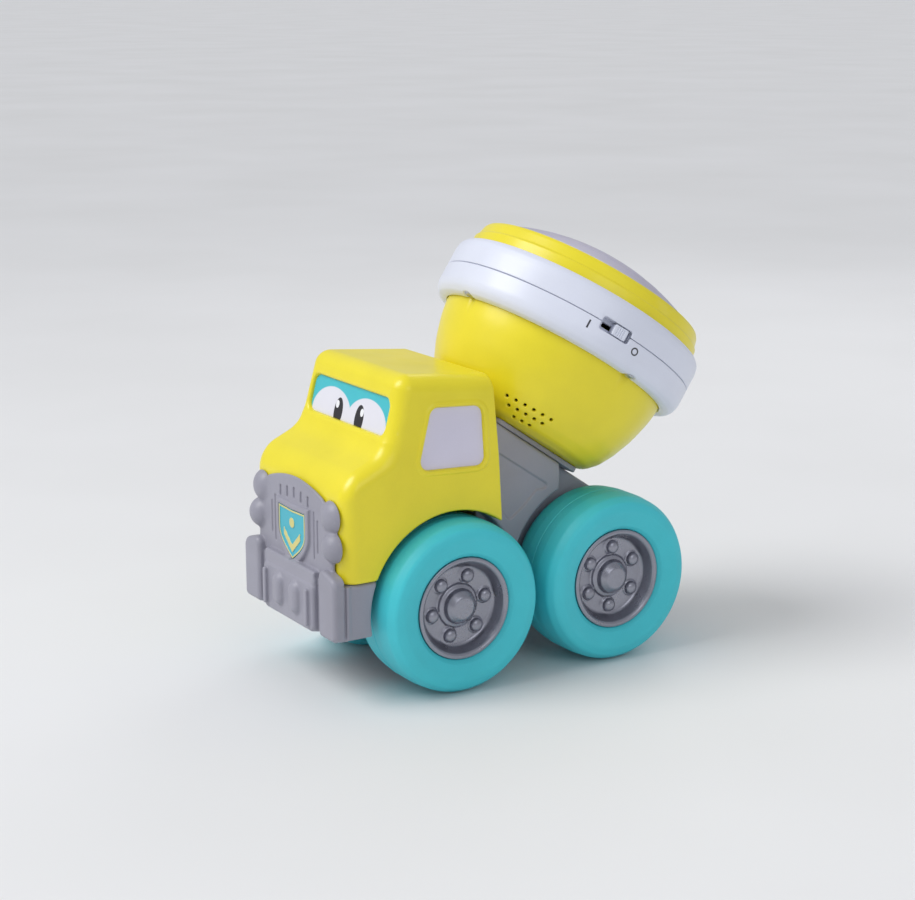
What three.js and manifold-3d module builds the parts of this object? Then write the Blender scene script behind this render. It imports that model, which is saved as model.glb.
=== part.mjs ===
// Toy cement mixer with a lift-off musical drum.
// Millimetres, +X towards the front of the truck, +Y to its left, +Z up, floor at z = 0.
// Inside the root group x is measured from the front axle; the group then moves the whole toy so
// that the middle of its outline stands over the origin.

import * as THREE from "three";
import { mergeVertices } from "three/addons/utils/BufferGeometryUtils.js";
import { ConvexGeometry } from "three/addons/geometries/ConvexGeometry.js";
import Module from "manifold-3d";

const wasm = await Module();
wasm.setup();

// ---------- driving dimensions ----------
const frontAxleX = 47.5; // front axle ahead of the middle of the outline
const wheelbase = 93;
const wheelRadius = 44;
const wheelWidth = 38;
const hubRadius = 26;
const axleRadius = 2.5;
const archClear = 3.3; // room between a tyre and its arch
const archRadius = wheelRadius + archClear;
const cabHalfWidth = 47.5;
const cabWall = 2.4;
const cabEdge = 7; // edge rounding of the cab
const hoodEdge = 9; // edge rounding of the hood
const cabRearFoot = -30; // rear face of the cab at floor height 60
const cabRearTop = -24.5; // rear face of the cab at roof height 150
const hoodFrontX = 61.5;
const bumperFrontX = 66.8;
const bumperTop = 62.4;
const bumperBottom = 34.7;
const spineHalf = 21; // chassis half width between the wheels
const wheelPlay = 1.5; // room between a wheel and the chassis
const trackHalf = spineHalf + wheelPlay + wheelWidth / 2; // middle of a wheel from the centre plane
const wedgeHalf = 30; // half width of the sloping frame behind the cab
const chassisWall = 2.4;
const panBottom = 30;
const panTop = 33;
const drumTilt = (34 * Math.PI) / 180;
const ringRadius = 71;
const ringFrontX = -40.24; // foremost point of the ring's seam, over the rear of the cab
const drumX = ringFrontX - ringRadius * Math.cos(drumTilt); // middle of the ring's seam
const drumZ = 165.4;
const ringShelf = 8.5; // width of the shelf where the ring grips the bowl
const bowlTopRadius = ringRadius - ringShelf;
const bowlBottom = -62.6; // underside of the bowl along the drum's axis
const deckLevel = -66; // sloping deck along the drum's axis
const padRadius = bowlTopRadius - 1.3;
const padTop = 43;
const holeSides = 8;
const postSides = 10;
const gap = 0.3; // clearance between pieces that rest on each other
const fit = 0.2; // clearance of fixed round fits
const drumSides = 30;
const archSides = 36;
const wheelSides = 20;

// ---------- helpers ----------
function place(geometry, ...moves) {
  for (const m of moves) geometry.applyMatrix4(m);
  return geometry;
}

const shift = (x, y, z) => new THREE.Matrix4().makeTranslation(x, y, z);
const spinX = (a) => new THREE.Matrix4().makeRotationX(a);
const spinY = (a) => new THREE.Matrix4().makeRotationY(a);
const spinZ = (a) => new THREE.Matrix4().makeRotationZ(a);
// Sketch axes (a, b, depth) laid on (y, z, x).
const facingX = new THREE.Matrix4().makeBasis(
  new THREE.Vector3(0, 1, 0),
  new THREE.Vector3(0, 0, 1),
  new THREE.Vector3(1, 0, 0),
);
// Sketch axes (a, b, depth) laid on (x, z, -y).
const facingY = spinX(Math.PI / 2);

function solid(geometry) {
  const bare = new THREE.BufferGeometry();
  const from = geometry.index ? geometry.toNonIndexed() : geometry;
  bare.setAttribute("position", from.getAttribute("position").clone());
  const merged = mergeVertices(bare, 1e-4);
  const p = merged.attributes.position.array;
  const raw = merged.index.array;
  const tris = [];
  let volume = 0;
  for (let i = 0; i < raw.length; i += 3) {
    const [a, b, c] = [raw[i], raw[i + 1], raw[i + 2]];
    if (a === b || b === c || a === c) continue;
    tris.push(a, b, c);
    const va = new THREE.Vector3().fromArray(p, 3 * a);
    const vb = new THREE.Vector3().fromArray(p, 3 * b);
    const vc = new THREE.Vector3().fromArray(p, 3 * c);
    volume += va.dot(vb.cross(vc));
  }
  if (volume < 0) tris.reverse();
  const mesh = new wasm.Mesh({
    numProp: 3,
    vertProperties: new Float32Array(p),
    triVerts: new Uint32Array(tris),
  });
  return new wasm.Manifold(mesh);
}

const join = (first, ...rest) => rest.reduce((a, b) => a.add(b), first);
const cut = (first, ...rest) => rest.reduce((a, b) => a.subtract(b), first);

function geometryOf(body) {
  const m = body.getMesh();
  const g = new THREE.BufferGeometry();
  g.setAttribute("position", new THREE.BufferAttribute(new Float32Array(m.vertProperties), 3));
  g.setIndex(new THREE.BufferAttribute(new Uint32Array(m.triVerts), 1));
  const flat = g.toNonIndexed();
  flat.computeVertexNormals();
  return flat;
}

// Box from corner to corner.
function box(x0, x1, y0, y1, z0, z1) {
  const g = new THREE.BoxGeometry(x1 - x0, y1 - y0, z1 - z0);
  return solid(place(g, shift((x0 + x1) / 2, (y0 + y1) / 2, (z0 + z1) / 2)));
}

// Round bar along +Z from z0 to z1.
function bar(r, z0, z1, sides = 20) {
  const g = new THREE.CylinderGeometry(r, r, z1 - z0, sides);
  return place(g, spinX(Math.PI / 2), shift(0, 0, (z0 + z1) / 2));
}

// Round bar standing at a point of the x-y plane, as a solid.
const rod = ([x, y], r, z0, z1, sides) => solid(place(bar(r, z0, z1, sides), shift(x, y, 0)));

// Turned body about +Z from [radius, height] pairs.
function turned(pairs, sides) {
  const closed = pairs[0][0] > 0 ? [...pairs, pairs[0]] : pairs;
  const g = new THREE.LatheGeometry(closed.map(([r, h]) => new THREE.Vector2(r, h)), sides);
  return place(g, spinX(Math.PI / 2));
}

function shapeOf(points) {
  return new THREE.Shape(points.map(([a, b]) => new THREE.Vector2(a, b)));
}

function extruded(shape, depth, bevel = 0, steps = 2) {
  return new THREE.ExtrudeGeometry(shape, {
    depth: depth - 2 * bevel,
    bevelEnabled: bevel > 0,
    bevelSize: bevel,
    bevelThickness: bevel,
    bevelOffset: -bevel,
    bevelSegments: steps,
    curveSegments: 4,
  }).applyMatrix4(shift(0, 0, bevel));
}

// Four-cornered outline with rounded corners.
function rounded(corners, r) {
  const s = new THREE.Shape();
  const n = corners.length;
  for (let i = 0; i < n; i += 1) {
    const p = new THREE.Vector2(...corners[i]);
    const before = new THREE.Vector2(...corners[(i + n - 1) % n]).sub(p).normalize();
    const after = new THREE.Vector2(...corners[(i + 1) % n]).sub(p).normalize();
    const start = p.clone().addScaledVector(before, r);
    const end = p.clone().addScaledVector(after, r);
    if (i === 0) s.moveTo(start.x, start.y);
    else s.lineTo(start.x, start.y);
    s.quadraticCurveTo(p.x, p.y, end.x, end.y);
  }
  s.closePath();
  return s;
}

const rectangle = (a, b, r) => rounded([[-a, -b], [a, -b], [a, b], [-a, b]], r);

// Convex body stretched over balls of radius r, mirrored across the centre plane.
function stretched(centres, r, rings, sides) {
  const points = [];
  for (const [x, y, z] of centres) {
    for (const side of [1, -1]) {
      for (let i = 0; i <= 2 * rings; i += 1) {
        const lat = -Math.PI / 2 + (i * Math.PI) / (2 * rings);
        const count = i === 0 || i === 2 * rings ? 1 : sides;
        for (let k = 0; k < count; k += 1) {
          const lon = (2 * Math.PI * k) / sides;
          const c = Math.cos(lat) * r;
          const dy = c * Math.sin(lon);
          points.push(new THREE.Vector3(x + c * Math.cos(lon), side * y + dy, z + r * Math.sin(lat)));
        }
      }
    }
  }
  return solid(new ConvexGeometry(points));
}

function meshOf(name, body, colour, roughness, metalness = 0, extra = {}) {
  const geometry = body.isBufferGeometry ? body : geometryOf(body);
  const material = new THREE.MeshStandardMaterial({ color: colour, roughness, metalness, ...extra });
  const mesh = new THREE.Mesh(geometry, material);
  mesh.name = name;
  return mesh;
}

const yellow = 0xf2df37;
const grey = 0x86869a;
const white = 0xe9ebf5;
const turquoise = 0x36c3d2;
const silver = 0xa9a9b4;
const pale = 0xbdbad2;
const steel = 0x9a9ca3;
const orange = 0xd9642a;

const toy = new THREE.Group();
toy.name = "toy_cement_mixer";
toy.position.set(frontAxleX, 0, 0);
const add = (...meshes) => toy.add(...meshes);

// Everything about the drum's own axis stands in one tilted group.
const drumGroup = new THREE.Group();
drumGroup.name = "tilted_drum";
drumGroup.position.set(drumX, 0, drumZ);
drumGroup.rotation.y = -drumTilt;
toy.add(drumGroup);
const addToDrum = (...meshes) => drumGroup.add(...meshes);

// Height of a plane of the tilted drum frame at a given x.
const slopeZ = (w, x) =>
  drumZ + (w + Math.sin(drumTilt) * (x - drumX)) / Math.cos(drumTilt);
const cabScrews = [41, -8]; // posts that hold the cab down, along x
const cabRearX = (z) => cabRearFoot + ((cabRearTop - cabRearFoot) * (z - 60)) / 90;

// Round bars across the toy, used for wheel arches and axle holes.
const across = (r, x, z, y0, y1, sides) =>
  solid(place(bar(r, y0, y1, sides), spinX(-Math.PI / 2), shift(x, 0, z)));

// ---------- cab ----------
const roofEdge = [22.5, 153.8]; // middle of the rounding at the front of the roof
const screenEdge = [29, 128]; // middle of the rounding at the foot of the windscreen face
const leanIn = 2; // the cab's sides lean in by this much between the two heights
const leanFrom = 116;
const leanTo = 150;

function cabSkin(inset) {
  const r = cabEdge - inset;
  const reach = cabHalfWidth - cabEdge;
  const foot = inset > 0 ? 30 : 45;
  const cab = stretched(
    [
      [cabRearX(foot), reach, foot],
      [cabRearX(leanFrom), reach, leanFrom],
      [cabRearX(leanTo), reach - leanIn, leanTo],
      [roofEdge[0], reach - leanIn, roofEdge[1]],
      [screenEdge[0], reach, screenEdge[1]],
      [screenEdge[0], reach, foot],
    ],
    r,
    inset > 0 ? 2 : 3,
    inset > 0 ? 8 : 12,
  );
  const h = hoodEdge - inset;
  const hoodSide = cabHalfWidth - hoodEdge;
  const hood = stretched(
    [
      [hoodFrontX - hoodEdge, hoodSide, 107],
      [hoodFrontX - hoodEdge, hoodSide, foot],
      [26, hoodSide, 119.6],
      [26, hoodSide, foot],
    ],
    h,
    inset > 0 ? 2 : 3,
    inset > 0 ? 8 : 12,
  );
  // The rear of the cab is a flat sloping face with plain edges.
  const rear = side(
    [[-80, 0], [cabRearX(0) + inset, 0], [cabRearX(200) + inset, 200], [-80, 200]],
    -cabHalfWidth - 9,
    cabHalfWidth + 9,
  );
  return cut(join(cab, hood), rear);
}

// Windscreen frame: middle of the opening on the sloping face, leaning back.
const screenLean = Math.atan2(screenEdge[0] - roofEdge[0], roofEdge[1] - screenEdge[1]);
const screenMiddle = [33.2, 0, 139.4];
const screenPillar = 9.1; // width of the pillar beside the windscreen
const screenHalf = cabHalfWidth - screenPillar;
const screenRise = 10.4;
const screenDrop = 8.2;
const onScreen = (g) => place(g, facingX, spinY(-screenLean), shift(...screenMiddle));
const screenShape = (grow) =>
  rounded(
    [
      [-screenHalf - grow, -screenDrop - grow],
      [screenHalf + grow, -screenDrop - grow],
      [screenHalf + grow, screenRise + grow],
      [-screenHalf - grow, screenRise + grow],
    ],
    4.5,
  );
const screenRecess = 2;
const screenThick = 2;

// Side window outline, drawn in x and z on the left face.
const windowShape = (grow) =>
  rounded(
    [
      [19.9 + grow, 114.3 - grow],
      [11.6 + grow, 144 + grow],
      [-16.9 - grow, 142.2 + grow],
      [-17.9 - grow, 112.6 - grow],
    ].reverse(),
    4,
  );
const windowRecess = 1.2;
const windowLean = Math.atan2(leanIn, leanTo - leanFrom);
const windowThick = 1.6;

function windowBody(grow, y0, y1, side) {
  const g = place(
    extruded(windowShape(grow), y1 - y0),
    facingY,
    shift(0, y1 - cabHalfWidth, -leanFrom),
    spinX(windowLean),
    shift(0, cabHalfWidth, leanFrom),
  );
  const body = solid(g);
  return side > 0 ? body : body.mirror([0, 1, 0]);
}

function cabShell() {
  const outer = cabSkin(0);
  let shell = cut(outer, cabSkin(cabWall));
  const backing = screenRecess + screenThick + gap + 1.6;
  const screenBlock = solid(onScreen(place(extruded(screenShape(1.6), backing), shift(0, 0, -backing))));
  const windowPocket = windowRecess + windowThick + gap;
  const windowBlocks = [1, -1].map((s) =>
    windowBody(1.6, cabHalfWidth - windowPocket - 1.6, cabHalfWidth - 0.5, s),
  );
  shell = join(shell, ...[screenBlock, ...windowBlocks].map((b) => b.intersect(outer)));
  const screenPocket = screenRecess + screenThick + gap;
  shell = cut(
    shell,
    solid(onScreen(place(extruded(screenShape(0), screenPocket + 8), shift(0, 0, -screenPocket)))),
    ...[1, -1].map((s) =>
      windowBody(0, cabHalfWidth - windowPocket, cabHalfWidth + 5, s),
    ),
  );
  // Screw posts under the roof of the hood, reaching down to the chassis.
  const posts = cabScrews.map((x) => box(x - 4, x + 4, -cabHalfWidth + 1, cabHalfWidth - 1, 96, 99.2));
  const legs = cabScrews.map((x) => rod([x, 0], 4, 74.4, 97, postSides));
  const holes = cabScrews.map((x) => rod([x, 0], 1.65, 70, 90, holeSides));
  shell = join(shell, ...posts.map((b) => b.intersect(outer)), ...legs);
  return cut(
    shell,
    ...holes,
    across(archRadius, 0, wheelRadius, -80, -spineHalf - 1, archSides),
    across(archRadius, 0, wheelRadius, spineHalf + 1, 80, archSides),
    box(-40, 39, -spineHalf - 2, spineHalf + 2, 0, 74.4),
    box(38, 80, -60, 60, 0, bumperTop + gap),
    box(-60, -12, -60, 60, 0, 81),
  );
}

add(meshOf("cab_shell", cabShell(), yellow, 0.28));

const screenPanel = place(
  extruded(screenShape(-gap), screenThick, 0.3, 1),
  shift(0, 0, -screenRecess - screenThick),
);
add(meshOf("windscreen_panel", onScreen(screenPanel), white, 0.3));
for (const [name, side] of [["side_window_left", 1], ["side_window_right", -1]]) {
  const y1 = cabHalfWidth - windowRecess;
  add(meshOf(name, windowBody(-gap, y1 - windowThick, y1, side), pale, 0.35));
}

// ---------- grille and bumper ----------
const grilleThick = 1.8;
const grilleHalf = cabHalfWidth - 6.5;
const crestTop = 90.5;
const crestHalf = 13.6;
const crestTip = 65.5;

function shield(grow) {
  const half = crestHalf + grow;
  const top = crestTop + grow;
  const tip = crestTip - grow * 1.25;
  const s = new THREE.Shape();
  s.moveTo(0, top);
  s.lineTo(half, top + 0.5);
  s.lineTo(half, 80);
  s.bezierCurveTo(half, 74, half * 0.55, tip + 5, 0, tip);
  s.bezierCurveTo(-half * 0.55, tip + 5, -half, 74, -half, 80);
  s.lineTo(-half, top + 0.5);
  s.closePath();
  return s;
}

function grilleOutline() {
  const g = grilleHalf;
  const s = new THREE.Shape();
  s.moveTo(-g, bumperTop + 0.2);
  s.lineTo(g, bumperTop + 0.2);
  s.quadraticCurveTo(g - 3, 69, g - 2, 74);
  s.lineTo(g - 5, 96);
  s.lineTo(g - 13, 102.4);
  s.quadraticCurveTo(g / 3, 107.2, 0, 107.4);
  s.quadraticCurveTo(-g / 3, 107.2, 13 - g, 102.4);
  s.lineTo(5 - g, 96);
  s.lineTo(2 - g, 74);
  s.quadraticCurveTo(3 - g, 69, -g, bumperTop + 0.2);
  return s;
}

function lamp(x, y, z, rx, r) {
  const g = new THREE.SphereGeometry(1, 10, 6);
  return solid(place(g, spinZ(-Math.PI / 2), new THREE.Matrix4().makeScale(rx, r, r), shift(x, y, z)));
}

function pill(y, z, half, tall, x0, x1, bevel) {
  const g = extruded(rectangle(half, tall, half * 0.8), x1 - x0, bevel, 1);
  return solid(place(g, facingX, shift(x0, y, z)));
}

function frontMoulding() {
  const back = hoodFrontX + gap;
  const plate = solid(place(extruded(grilleOutline(), grilleThick, 0.5, 1), facingX, shift(back, 0, 0)));
  const lamps = [1, -1].flatMap((s) => [
    lamp(back - 2, s * (grilleHalf - 5), 94.8, 7, 8.7),
    lamp(back - 0.5, s * (grilleHalf - 2.6), 80.4, 7, 7.8),
  ]);
  const surround = place(extruded(shield(3.4), 3, 0.6, 1), facingX, shift(back + grilleThick - 1.2, 0, 0));
  // Bumper beam with returned ends.
  const plan = rounded(
    [[30, -cabHalfWidth], [bumperFrontX, -cabHalfWidth], [bumperFrontX, cabHalfWidth], [30, cabHalfWidth]],
    5,
  );
  const tall = bumperTop - bumperBottom;
  let beam = solid(place(extruded(plan, tall, 1.2, 1), shift(0, 0, bumperBottom)));
  beam = cut(
    beam,
    box(0, 63.6, -cabHalfWidth + 2.8, cabHalfWidth - 2.8, 0, bumperTop - 2.4),
    box(0, 58.8, -cabHalfWidth + 2.8, cabHalfWidth - 2.8, 0, 80),
    across(archRadius, 0, wheelRadius, -80, 80, archSides),
    box(0, 44, -60, 60, 0, 80),
    ...[1, -1].map((s) => box(65, 80, s * 29 - 2.8, s * 29 + 2.8, 20, 80)),
  );
  const centre = place(extruded(rectangle(26.3, 12.4, 2.5), 4.7, 1.2, 1), facingX, shift(63.6, 0, 47));
  const step = place(extruded(rectangle(26, 3.2, 1.5), 5, 0.4, 1), facingX, shift(62.4, 0, 62));
  // Upright posts at the corners, higher on their inner side.
  const posts = [1, -1].map((s) => {
    const inner = s * (cabHalfWidth - 16);
    const outer = s * (cabHalfWidth + 0.5);
    const low = bumperBottom + 0.2;
    const top = bumperTop + 7.6;
    const face = rounded([[inner, low], [outer, low], [outer, top - 4], [inner, top]], 3.5);
    return solid(place(extruded(face, 6.4, 1.5, 2), facingX, shift(back, 0, 0)));
  });
  const ridges = [1, -1].flatMap((s) => [
    pill(s * 8.6, 48.4, 5.2, 8.8, 66, 71, 1.8),
    pill(s * 22, 47, 1.5, 9.5, 67, 70.4, 0.3),
  ]);
  const blocks = [surround, centre, step].map(solid);
  let body = join(plate, beam, ...lamps, ...blocks, ...posts, ...ridges);
  const pocket = place(extruded(shield(gap), 6), facingX, shift(back + grilleThick - 0.5, 0, 0));
  const slots = [-2, -1, 0, 1, 2].map((k) => {
    const z = 98.6 - Math.abs(k) * 0.8;
    return box(back + 0.9, 80, k * 7.2 - 1, k * 7.2 + 1, z - 2.4, z + 3.2);
  });
  body = cut(body, solid(pocket), ...slots, box(30, back, -34, 34, bumperTop - 0.05, 120));
  const keep = join(box(back, 90, -70, 70, 40, 140), box(20, 90, -70, 70, 0, bumperTop));
  return body.intersect(keep);
}

add(meshOf("front_moulding", frontMoulding(), grey, 0.45));
const badgeBack = hoodFrontX + gap + grilleThick - 0.5 + gap;
const badge = place(extruded(shield(0), 1.8, 0.3, 1), facingX, shift(badgeBack, 0, 0));
add(meshOf("crest_badge", badge, turquoise, 0.35));

// ---------- chassis ----------
const deckEnd = -131;
const tailEnd = -150;

function side(points, y0, y1) {
  return solid(place(extruded(shapeOf(points), y1 - y0), facingY, shift(0, y1, 0)));
}

const saddleHalf = 4; // half thickness of an axle bearing rib along x
const ribs = [14, -14];
const panScrews = [[27, 0], [-46.5, 0], [-125, 0]];

function chassisBody() {
  const rearFace = (z) => cabRearX(z) - 0.5;
  const spine = side(
    [
      [57.6, panTop + gap],
      [57.6, 66],
      [50, 74],
      [rearFace(74), 74],
      [rearFace(130), slopeZ(deckLevel, rearFace(130))],
      [deckEnd, slopeZ(deckLevel, deckEnd)],
      [tailEnd + 2.5, 62.5],
      [tailEnd, 59.5],
      [tailEnd + 1.5, panTop + gap],
    ],
    -spineHalf,
    spineHalf,
  );
  const rear = -75.5;
  const wedge = cut(
    side(
      [
        [rearFace(60), 60],
        [rearFace(130), slopeZ(deckLevel, rearFace(130))],
        [rear, slopeZ(deckLevel, rear)],
        [rear, 60],
      ],
      -wedgeHalf,
      wedgeHalf,
    ),
    across(archRadius + 1, 0, wheelRadius, -80, 80, archSides),
    across(archRadius, -wheelbase, wheelRadius, -80, 80, archSides),
  );
  const t = chassisWall;
  const hollow = side(
    [
      [57.6 - t, 20],
      [57.6 - t, 66 - t * 0.5],
      [50 - t, 74 - t],
      [rearFace(74) - t, 74 - t],
      [rearFace(125) - t, slopeZ(deckLevel - t, rearFace(125) - t)],
      [deckEnd, slopeZ(deckLevel - t, deckEnd)],
      [tailEnd + 2.5 + t, 62.5 - t],
      [tailEnd + 1.5 + t, 20],
    ],
    -spineHalf + t,
    spineHalf - t,
  );
  const pocketTop = (x) => slopeZ(deckLevel - t, x);
  const wing = cut(
    side(
      [
        [rearFace(75) - t, 75],
        [rearFace(125) - t, pocketTop(rearFace(125) - t)],
        [rear + t, pocketTop(rear + t)],
        [rear + t, 75],
      ],
      -wedgeHalf + t,
      wedgeHalf - t,
    ),
    across(archRadius + 1 + t, 0, wheelRadius, -80, 80, archSides),
    across(archRadius + t, -wheelbase, wheelRadius, -80, 80, archSides),
  );
  // Engraved three-cornered panel on each side of the frame.
  const panelDeep = 0.9;
  const panel = shapeOf([
    [-35.5, slopeZ(deckLevel - 12.5, -35.5)],
    [-35.5, 88],
    [-44, 76],
    [-52, 81.5],
    [-61, 90],
    [-70.5, slopeZ(deckLevel - 12.5, -70.5)],
  ].reverse());
  const frame = place(extruded(panel, panelDeep + 4), facingY);
  const panels = [1, -1].map((s) => {
    const y = s > 0 ? wedgeHalf + 4 : -wedgeHalf + panelDeep;
    return solid(frame.clone().applyMatrix4(shift(0, y, 0)));
  });
  const bearings = [0, -wheelbase].flatMap((x) =>
    ribs.map((y) => box(x - saddleHalf, x + saddleHalf, y - 1.6, y + 1.6, wheelRadius + gap / 2, 140)),
  );
  const posts = panScrews.map(([x, y]) =>
    rod([x, y], 4.2, panTop + 6.6, 140, postSides),
  );
  const postHoles = panScrews.map(([x, y]) => rod([x, y], 1.65, 20, panTop + 24, holeSides));
  let body = cut(join(spine, wedge), hollow, wing);
  const envelope = join(spine, wedge);
  body = join(body, ...[...bearings, ...posts].map((b) => b.intersect(envelope)));
  // Cab screws pass up through the top of the spine.
  const cabHoles = cabScrews.map((x) => rod([x, 0], 1.9, 60, 80, holeSides));
  const slotsForAxles = [0, -wheelbase].flatMap((x) => [
    across(axleRadius + 0.4, x, wheelRadius, -40, 40, postSides),
    box(x - axleRadius - 0.4, x + axleRadius + 0.4, -40, 40, 20, wheelRadius),
  ]);
  const cradleHoles = [-1, 1].map((s) =>
    onDrum(rod([0, s * 12], 1.65, deckLevel - 12, deckLevel + 5, holeSides)),
  );
  const cradlePosts = [-1, 1].map((s) =>
    onDrum(rod([0, s * 12], 3.6, deckLevel - 12, deckLevel - 1, postSides)).intersect(envelope),
  );
  body = join(body, ...cradlePosts);
  return cut(body, ...panels, ...postHoles, ...cabHoles, ...slotsForAxles, ...cradleHoles);
}

// Puts a solid drawn about the drum's own axis into the toy.
function onDrum(body) {
  const m = shift(drumX, 0, drumZ).multiply(spinY(-drumTilt));
  return body.transform(m.elements);
}

add(meshOf("chassis_body", chassisBody(), grey, 0.5));

function basePlate() {
  const plan = rounded(
    [[57.4, -spineHalf], [57.4, spineHalf], [tailEnd + 1.6, spineHalf], [tailEnd + 1.6, -spineHalf]],
    3,
  );
  const plate = solid(place(extruded(plan, panTop - panBottom, 0.8, 1), shift(0, 0, panBottom)));
  const saddles = [0, -wheelbase].flatMap((x) =>
    ribs.map((y) =>
      box(x - saddleHalf, x + saddleHalf, y - 1.6, y + 1.6, panTop - 1, wheelRadius - gap / 2),
    ),
  );
  const bosses = panScrews.map(([x, y]) => rod([x, y], 4.2, panTop - 1, panTop + 6.3, postSides));
  const wells = panScrews.map(([x, y]) => rod([x, y], 3.2, panBottom - 1, panBottom + 2.4, postSides));
  const holes = panScrews.map(([x, y]) => rod([x, y], 1.65, panBottom - 1, 50, holeSides));
  return cut(
    join(plate, ...saddles, ...bosses),
    ...wells,
    ...holes,
    ...[0, -wheelbase].map((x) => across(axleRadius + 0.4, x, wheelRadius, -40, 40, postSides)),
  );
}

add(meshOf("base_plate", basePlate(), grey, 0.55));

// Pan-head screw pointing up, head underneath, head face at z = 0.
function screw(headRadius, headTall, shankRadius, length) {
  const profile = [
    [0, 0],
    [headRadius, 0],
    [headRadius, headTall],
    [shankRadius, headTall],
    [shankRadius, length],
    [0, length],
  ];
  return solid(turned(profile, 10));
}

panScrews.forEach(([x, y], i) => {
  const body = screw(2.9, 1.6, 1.4, 18).translate([x, y, panBottom + 0.5]);
  add(meshOf(`base_screw_${i + 1}`, body, steel, 0.35, 0.9));
});
cabScrews.forEach((x, i) => {
  const body = screw(3.2, 1.8, 1.4, 16).translate([x, 0, 74 - chassisWall - 1.8 - gap]);
  add(meshOf(`cab_screw_${i + 1}`, body, steel, 0.35, 0.9));
});

// ---------- wheels ----------
const half = wheelWidth / 2;
const tyreProfile = [
  [axleRadius + fit, 0.5],
  [hubRadius + fit, 0.5],
  [hubRadius + fit, half - 4.2],
  [hubRadius + 2, half - 2.6],
  [wheelRadius - 8, half],
  [wheelRadius - 3.4, half - 1.2],
  [wheelRadius - 0.8, half - 5.4],
  [wheelRadius, half - 13],
  [wheelRadius, -half + 13],
  [wheelRadius - 0.8, -half + 5.4],
  [wheelRadius - 4, -half + 0.6],
  [wheelRadius - 7.5, -half + 0.6],
  [wheelRadius - 3.2, -half + 9],
  [wheelRadius - 3.2, half - 9],
  [wheelRadius - 8, half - 3.2],
  [hubRadius + 2.9, half - 5.2],
  [hubRadius + 2.9, -2],
  [axleRadius + 4, -2],
  [axleRadius + 4, -half + 0.5],
  [axleRadius + fit, -half + 0.5],
];

const rim = half - 3; // outer plane of the hub
const hubProfile = [
  [0, rim - 0.6],
  [5.5, rim - 1.2],
  [8.4, rim - 3.6],
  [8.8, rim - 6.2],
  [11, rim - 6.6],
  [11.2, rim - 8],
  [21.5, rim - 6.8],
  [24, rim - 0.4],
  [hubRadius, rim - 0.6],
  [hubRadius, 1],
  [hubRadius - 2, 1],
  [hubRadius - 3.4, rim - 8.8],
  [7.6, rim - 9.6],
  [5.6, rim - 4.6],
  [0, rim - 3.4],
];

const lugProfile = [
  [0, 0],
  [3.5, 0],
  [3.5, 2.2],
  [2, 3.8],
  [0, 4],
];

const tyreBody = solid(turned(tyreProfile, wheelSides));
const lugs = [0, 1, 2, 3, 4, 5].map((k) => {
  const lug = place(turned(lugProfile, 7), shift(15.6, 0, rim - 8), spinZ((k * Math.PI) / 3));
  return solid(lug);
});
const hubBody = join(solid(turned(hubProfile, wheelSides)), ...lugs);

const corners = [
  ["front_left", 0, 1],
  ["front_right", 0, -1],
  ["rear_left", -wheelbase, 1],
  ["rear_right", -wheelbase, -1],
];
for (const [name, x, s] of corners) {
  const tyre = meshOf(`tyre_${name}`, tyreBody, turquoise, 0.5);
  const hub = meshOf(`hub_${name}`, hubBody, silver, 0.35, 0.6);
  for (const mesh of [tyre, hub]) {
    mesh.position.set(x, s * trackHalf, wheelRadius);
    mesh.rotation.x = (-s * Math.PI) / 2;
    add(mesh);
  }
}
for (const [name, x] of [["front_axle", 0], ["rear_axle", -wheelbase]]) {
  const reach = trackHalf + 5;
  add(meshOf(name, across(axleRadius, x, wheelRadius, -reach, reach, 16), steel, 0.3, 0.95));
}

// ---------- drum cradle ----------
const recessU = 28; // half length of the socket under the drum, along the slope
const recessY = 25; // half width of the socket
const recessTop = -54.2;
const cradleFoot = deckLevel + gap;
const cradleStep = bowlBottom - gap;
const cradleTop = recessTop - 1;
const socketPlay = 0.6;

function cradle() {
  const foot = place(
    extruded(rectangle(30, 28, 3), cradleStep - cradleFoot, 0.5, 1),
    shift(0, 0, cradleFoot),
  );
  const block = place(
    extruded(rectangle(recessU - socketPlay, recessY - socketPlay, 4), cradleTop - cradleFoot, 1, 2),
    shift(0, 0, cradleFoot),
  );
  const grooves = [-1, 1].map((s) =>
    box(12 * s - 1, 12 * s + 1, -recessY - 4, recessY + 4, cradleTop - 0.9, cradleTop + 4),
  );
  const wells = [-1, 1].map((s) => rod([0, s * 12], 3.6, cradleTop - 5, cradleTop + 4, postSides));
  const holes = [-1, 1].map((s) => rod([0, s * 12], 1.65, cradleFoot - 4, cradleTop + 4, holeSides));
  return cut(join(solid(foot), solid(block)), ...grooves, ...wells, ...holes);
}

addToDrum(meshOf("drum_cradle", cradle(), grey, 0.5));
[12, -12].forEach((y, i) => {
  const body = screw(2.9, 1.8, 1.4, 14).rotate([180, 0, 0]).translate([0, y, cradleTop - 5 + gap + 1.8]);
  addToDrum(meshOf(`cradle_screw_${i + 1}`, body, steel, 0.35, 0.9));
});

// ---------- drum shells ----------
const seam = 0.12; // half of the joint line between the ring halves
const ringScrewRadius = ringRadius - 5.7;
const ringScrewTurns = [3, 91, 183, 271].map((d) => (d * Math.PI) / 180);
const around = (body, a) => body.rotate([0, 0, (a * 180) / Math.PI]);

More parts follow.
